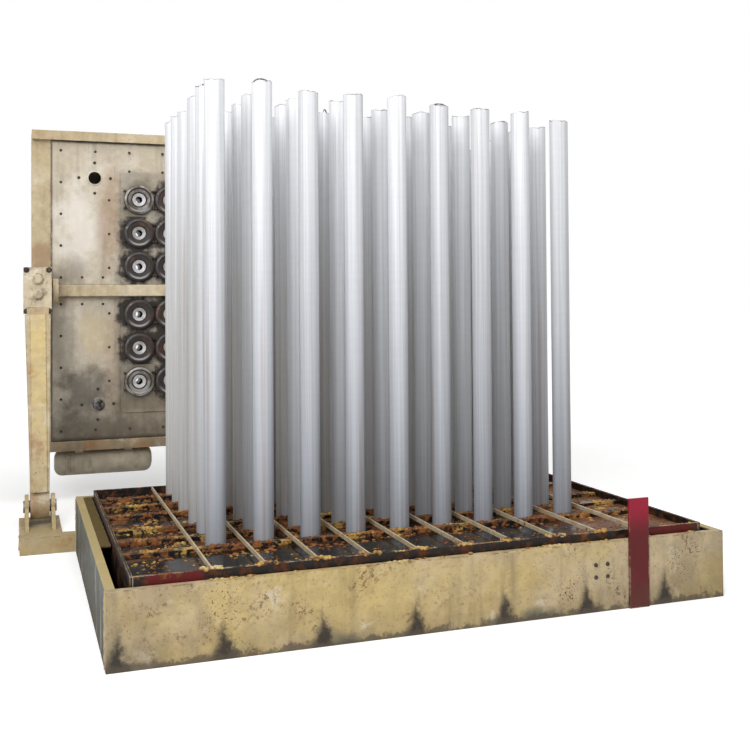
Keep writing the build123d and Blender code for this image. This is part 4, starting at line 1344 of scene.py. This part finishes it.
class CASTING_OT_table(bpy.types.Operator):
    """Paints the table's body, faces its middle rail and screws its panels down"""
    bl_idname = "casting.table"
    bl_label = "Table Body"

    def execute(self, context):
        colours, sizes = context.scene.casting_colours, context.scene.casting_sizes
        rail_paint = cream_material("Rail Paint", colours.rail, colours, 0.3)
        paint_nodes(rail_paint, "left_end_rail", "right_end_rail", "top_rail", "mid_rail")
        outline = plate_outline(RAIL_BAR_HALF, RAIL_BAR_THICKNESS)
        ends = [[(x, TABLE_FACE - RAIL_REACH - rise, MIDDLE_HEIGHT + across)
                 for across, rise in outline] for x in (-RAIL_BAR_END, RAIL_BAR_END)]
        seat(bars_piece("mid_rail_bar", [ends], rail_paint), "table", "cream_paint")
        paint_nodes(cream_material("Foot Rail Paint", colours.faded_and_shaded, colours, 0.6, Clean_Height=0.8,
                                   Dirty_Height=0.35, Grime_Amount=0.75), "bottom_rail")
        panel_paint = panel_material(colours)
        paint_nodes(panel_paint, *nodes_of("panel_paint"))
        dark = bpy.data.materials["Dark Bolts"]
        bolt_heads("panel_screws", self.screw_points(sizes), (sizes.screw_radius, sizes.screw_height),
                   dark, "table", "panel_paint", Sides=10, Washer=1.2)
        around = [(x + a * PORT_BOLTS, y, z + b * PORT_BOLTS) for x, y, z in (PORT_PLACE, PLUG_PLACE)
                  for a, b in ((-1, 0), (1, 0), (0, -1), (0, 1))]
        bolt_heads("port_bolts", both_sides(around), (sizes.screw_radius, sizes.screw_height * 1.4),
                   dark, "table", "panel_paint")
        turned_rings("port_rims", both_sides([PORT_PLACE]),
                     (sizes.port_radius, sizes.port_radius + PORT_RIM), PORT_HEIGHTS, panel_paint,
                     "panel_paint")
        knob = metal("Port Plug", colours.pin, colours.soot, colours, 0.7, 0.35, 0.6, 20.0, 0.2)
        bolt_heads("port_plugs", both_sides([PLUG_PLACE]), PORT_PLUG, knob, "table", "panel_paint",
                   Sides=28, Washer=1.25)
        return {"FINISHED"}

    def screw_points(self, sizes):
        """Screws along the table's top and foot, beside the middle rail and up the panels."""
        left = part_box("upper_side_panels")[0].x + SCREW_INSET
        plate_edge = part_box("upper_mould_plate")[0].x
        count = round(-2 * left / sizes.screw_pitch)
        level = [left - 2 * left * i / count for i in range(1, count)]
        level = [(x, FIELD_FACE if abs(x) < -plate_edge else TABLE_FACE) for x in level]
        top, foot = PANEL_TOP - SCREW_INSET, PANEL_FOOT + SCREW_INSET
        points = [(x, y, z) for x, y in level for z in (top, foot)]
        points += [(x, y, PANEL_TOP - PLATE_SCREW_DROP) for x, y in level if y == FIELD_FACE]
        beside = []
        for name in ("upper_side_panels", "lower_side_panels"):
            low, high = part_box(name)
            near, far = sorted((low.z + SCREW_INSET, high.z - SCREW_INSET),
                               key=lambda z: abs(z - MIDDLE_HEIGHT))
            steps = round(abs(far - near) / sizes.column_pitch)
            beside += [(left, near + (far - near) * i / steps) for i in range(steps + 1)]
            beside += [(left + i * FOOT_SCREW_PITCH, near) for i in (1, 2)]
            inner = left + INNER_SCREWS_PLACE * FOOT_SCREW_PITCH
            step = (far - near) * INNER_SCREWS_STEP
            beside += [(inner, near + step * (INNER_SCREWS_START + i)) for i in range(3)]
        return points + both_sides([(x, TABLE_FACE, z) for x, z in beside])


class CASTING_OT_moulds(bpy.types.Operator):
    """Blackens the moulds and fits their dishes, walls, lips, mouth rings and bolts"""
    bl_idname = "casting.moulds"
    bl_label = "Moulds"

    def execute(self, context):
        colours = context.scene.casting_colours
        sooty = soot_material(colours)
        paint_nodes(sooty, *nodes_of("mould_metal"))
        bright = metal("Bright Ring", colours.mould_ring, colours.pin, colours, 0.25, 0.4, 0.6, 9.0)
        grey = metal("Mould Grey", colours.pin, colours.grime, colours, 0.3, 0.4, 0.65, 11.0, 0.1)
        centres = [Vector((x, MOULD_FACE, z)) for z in MOULD_HEIGHTS for x in COLUMN_X]
        clean = [c for c in centres if abs(c.x) > COLUMN_EDGE - 0.01
                 and abs(c.z - MIDDLE_HEIGHT) > LAST_ROW - 0.01]
        used = [c for c in centres if c not in clean]
        for name, places, finishes in (("used", used, (sooty, sooty, sooty)),
                                       ("clean", clean, (grey, sooty, grey))):
            for i, (part, finish) in enumerate(zip(("dish", "wall", "lip"), finishes)):
                turned_rings(f"{name}_mould_{part}", places, DISH_RADII[i:i + 2],
                             DISH_HEIGHTS[i:i + 2], finish, "mould_metal")
        turned_rings("mouth_rings", centres, MOUTH_RADII, MOUTH_HEIGHTS, bright, "mould_metal",
                     Back=MOUTH_BACK)
        clamps = [(c.x + a * CLAMP_ACROSS, FIELD_FACE, c.z + b * CLAMP_RISE) for c in centres
                  for a in (-1, 1) for b in (-1, 1)]
        bolt_heads("clamp_bolts", clamps, CLAMP_BOLT, bpy.data.materials["Dark Bolts"], "table",
                   "mould_metal", Washer=1.0)
        return {"FINISHED"}


class CASTING_OT_hot_top(bpy.types.Operator):
    """Finishes the tiles and the launder behind the table, and screws its back covers on"""
    bl_idname = "casting.hot_top"
    bl_label = "Hot Top"

    def execute(self, context):
        colours, sizes = context.scene.casting_colours, context.scene.casting_sizes
        paint_nodes(refractory_material(colours), *nodes_of("refractory"))
        low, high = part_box("back_covers")
        steps = round((high.z - low.z) / sizes.column_pitch)
        rise = (high.z - low.z - 2 * SCREW_INSET) / steps
        points = [(x, high.y, low.z + SCREW_INSET + i * rise)
                  for x in (high.x - SCREW_INSET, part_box("lower_hot_top_pan")[1].x + SCREW_INSET)
                  for i in range(steps + 1)]
        bolt_heads("cover_screws", both_sides(points), (sizes.screw_radius, sizes.screw_height),
                   bpy.data.materials["Dark Bolts"], "table", "panel_paint", BACK, Sides=10,
                   Washer=1.2)
        return {"FINISHED"}


class CASTING_OT_headers(bpy.types.Operator):
    """Finishes the water drums under the table"""
    bl_idname = "casting.headers"
    bl_label = "Water Drums"

    def execute(self, context):
        colours = context.scene.casting_colours
        paint_nodes(header_material(colours), "water_headers")
        return {"FINISHED"}


class CASTING_OT_platen(bpy.types.Operator):
    """Wets, rusts and crusts the platen and its bars"""
    bl_idname = "casting.platen"
    bl_label = "Platen"

    def execute(self, context):
        colours, sizes = context.scene.casting_colours, context.scene.casting_sizes
        paint_nodes(deck_material(colours), "platen_deck", "platen_girders")
        paint_nodes(platen_edge_material(colours), "platen_side_edges", "platen_end_edges")
        crust = crust_material("Orange Crust", colours, colours.orange_rust, colours.yellow_crust, 0.66,
                               24.0)
        paint_nodes(crust, "transverse_bars")
        bars = metal("Guide Bar Steel", colours.bar_steel, colours.faded_and_shaded, colours, 0.2, 0.4, 0.6,
                     14.0, 0.3)
        paint_nodes(bars, "guide_bars")
        paint_nodes(metal("Starter Disc", colours.pin, colours.grime, colours, 0.6, 0.4, 0.6, 16.0),
                    "starter_blocks")
        paint_nodes(metal("Plated Ram", colours.pin, colours.mould_ring, colours, 0.95, 0.12, 0.25,
                          4.0), "lift_ram")
        lumps = crust_material("Crust Lumps", colours, colours.orange_rust, colours.yellow_crust, 0.4,
                               16.0)
        pale = crust_material("Pale Lumps", colours, colours.yellow_crust, colours.cream, 0.3, 16.0)
        low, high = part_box("platen_deck")
        left, right, back = low.x + DECK_MARGIN, high.x - DECK_MARGIN, high.y - DECK_MARGIN
        self.strew("deck_crust", [(left, right, low.y + CRUST_START, back)], DECK_TOP, "platen",
                   Size=sizes.crumb, Density=980.0, Bare_Share=0.5, Seed=3, Material=lumps)
        self.strew("deck_grit", [(left, right, low.y + GRIT_START, back)], DECK_TOP, "platen",
                   Size=sizes.crumb * 0.55, Density=2400.0, Bare_Share=0.5, Seed=8, Detail=1,
                   Material=lumps)
        self.strew("bar_crust", [(left, right, *sides) for sides in self.bar_sides()],
                   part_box("transverse_bars")[1].z, "platen", Size=sizes.crumb * 0.75, Seed=5,
                   Density=8000.0, Bare_Share=0.46, Detail=1, Flatness=0.7, Heap_Scale=12.0,
                   Material=lumps)
        self.heap_front_edge(sizes, pale)
        return {"FINISHED"}

    def heap_front_edge(self, sizes, lumps):
        """Clumps of crust on the platen's front edge, where each guide bar ends, and on the beam."""
        low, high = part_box("platen_side_edges")
        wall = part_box("platen_deck")[0].y
        bar_x = [(i - COLUMNS / 2) * COLUMN_PITCH for i in range(COLUMNS + 1)]
        clumps = [(x - CLUMP_HALF, x + CLUMP_HALF, low.y, wall + 0.02) for x in bar_x]
        self.strew("edge_crust", clumps, high.z, "platen", Size=sizes.crumb * 0.85,
                   Density=12000.0, Bare_Share=0.4, Seed=21, Flatness=0.8, Material=lumps)
        self.strew("edge_grit", [(-RED_BAY[0], high.x, low.y, wall)], high.z, "platen", Detail=1,
                   Size=sizes.crumb * 0.55, Density=14000.0, Bare_Share=0.52, Seed=22,
                   Heap_Scale=14.0, Material=lumps)
        self.strew("ledge_lumps", [(-RED_BAY[0], RED_BAY[1], 0.002, FRAME_HIGH.y)], FRAME_HIGH.z,
                   "root", Size=sizes.crumb * 0.85, Density=15000.0, Bare_Share=0.5, Seed=11,
                   Heap_Scale=5.5, Material=lumps)

    def bar_sides(self):
        """Front and back of every bar that lies across the platen."""
        data = FRAME["nodes"]["transverse_bars"].data
        sides = sorted({round(v.co.y, 4) for v in data.vertices})
        return list(zip(sides[::2], sides[1::2]))

    def strew(self, name, areas, height, body, **values):
        """Crumbs over level rectangles, each given by its left, right, front and back."""
        corners, faces = [], []
        for left, right, front, back in areas:
            faces.append(tuple(range(len(corners), len(corners) + 4)))
            corners += [(left, front, height), (right, front, height), (right, back, height),
                        (left, back, height)]
        seat(grow(mesh_piece(name, corners, faces=faces), crumb_tree(), **values), body, "rusty_bar")


class CASTING_OT_billets(bpy.types.Operator):
    """Stands the cast billets on the platen"""
    bl_idname = "casting.billets"
    bl_label = "Billets"

    def execute(self, context):
        colours, sizes = context.scene.casting_colours, context.scene.casting_sizes
        skin = billet_material(colours)
        for i, (low, high) in enumerate(BILLET_ROWS, 1):
            name = f"billet_row_{i}"
            y = (low.y + high.y) / 2
            row = mesh_piece(f"cast_{name}", [(x, y, low.z) for x in COLUMN_X])
            lengths = row.data.attributes.new("length", "FLOAT", "POINT")
            for entry, x in zip(lengths.data, COLUMN_X):
                entry.value = self.length_at(name, x)
            grow(row, billet_tree(), Radius=BILLET_RADIUS, Ragged=sizes.ragged, Sink=HEAD_SINK,
                 Material=skin)
            seat(row, "platen", "billet_metal", name)
        self.hang_threads(bpy.data.materials["Mould Grey"])
        return {"FINISHED"}

    def hang_threads(self, material):
        """Thin arched threads of frozen metal over some of the heads."""
        vertices, edges = [], []
        for row, column, turn in HEAD_THREADS:
            low, high = BILLET_ROWS[row]
            x, y = COLUMN_X[column], (low.y + high.y) / 2
            z = low.z + self.length_at(f"billet_row_{row + 1}", x) - HEAD_SINK
            for i in range(THREAD_STEPS + 1):
                angle = pi * i / THREAD_STEPS
                out = THREAD_SPAN * cos(angle)
                if i:
                    edges.append((len(vertices) - 1, len(vertices)))
                vertices.append((x + out * cos(turn), y + out * sin(turn),
                                 z + THREAD_HEIGHT * sin(angle)))
        threads = grow(mesh_piece("head_threads", vertices, edges), bead_tree(),
                       Bead=THREAD_RADIUS, Ripple=THREAD_RIPPLE, Material=material)
        seat(threads, "platen", "billet_metal")

    def length_at(self, name, x):
        """The height of the billet that stands at x in a row of the frame."""
        data = FRAME["nodes"][name].data
        near = [v.co.z for v in data.vertices if abs(v.co.x - x) < BILLET_RADIUS * 1.2]
        return max(near) - min(near)


OPERATORS = (CASTING_OT_stage, CASTING_OT_frame, CASTING_OT_arms, CASTING_OT_table,
             CASTING_OT_moulds, CASTING_OT_hot_top, CASTING_OT_headers, CASTING_OT_platen,
             CASTING_OT_billets)


class CASTING_PT_sidebar(bpy.types.Panel):
    """Lists the steps, the colours and the sizes"""
    bl_idname = "CASTING_PT_sidebar"
    bl_label = "Billet Casting Machine"
    bl_space_type = "VIEW_3D"
    bl_region_type = "UI"
    bl_category = "Casting"

    def draw(self, context):
        for operator in OPERATORS:
            self.layout.operator(operator.bl_idname)
        for group in (context.scene.casting_colours, context.scene.casting_sizes):
            for name in group.__annotations__:
                self.layout.prop(group, name)


CLASSES = (CastingColours, CastingSizes, *OPERATORS, CASTING_PT_sidebar)


def register():
    for item in CLASSES:
        bpy.utils.register_class(item)
    bpy.types.Scene.casting_colours = bpy.props.PointerProperty(type=CastingColours)
    bpy.types.Scene.casting_sizes = bpy.props.PointerProperty(type=CastingSizes)


def unregister():
    del bpy.types.Scene.casting_sizes
    del bpy.types.Scene.casting_colours
    for item in reversed(CLASSES):
        bpy.utils.unregister_class(item)


def main():
    register()
    for operator in OPERATORS:
        group, name = operator.bl_idname.split(".")
        getattr(getattr(bpy.ops, group), name)()
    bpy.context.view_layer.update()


if __name__ == "__main__":
    main()
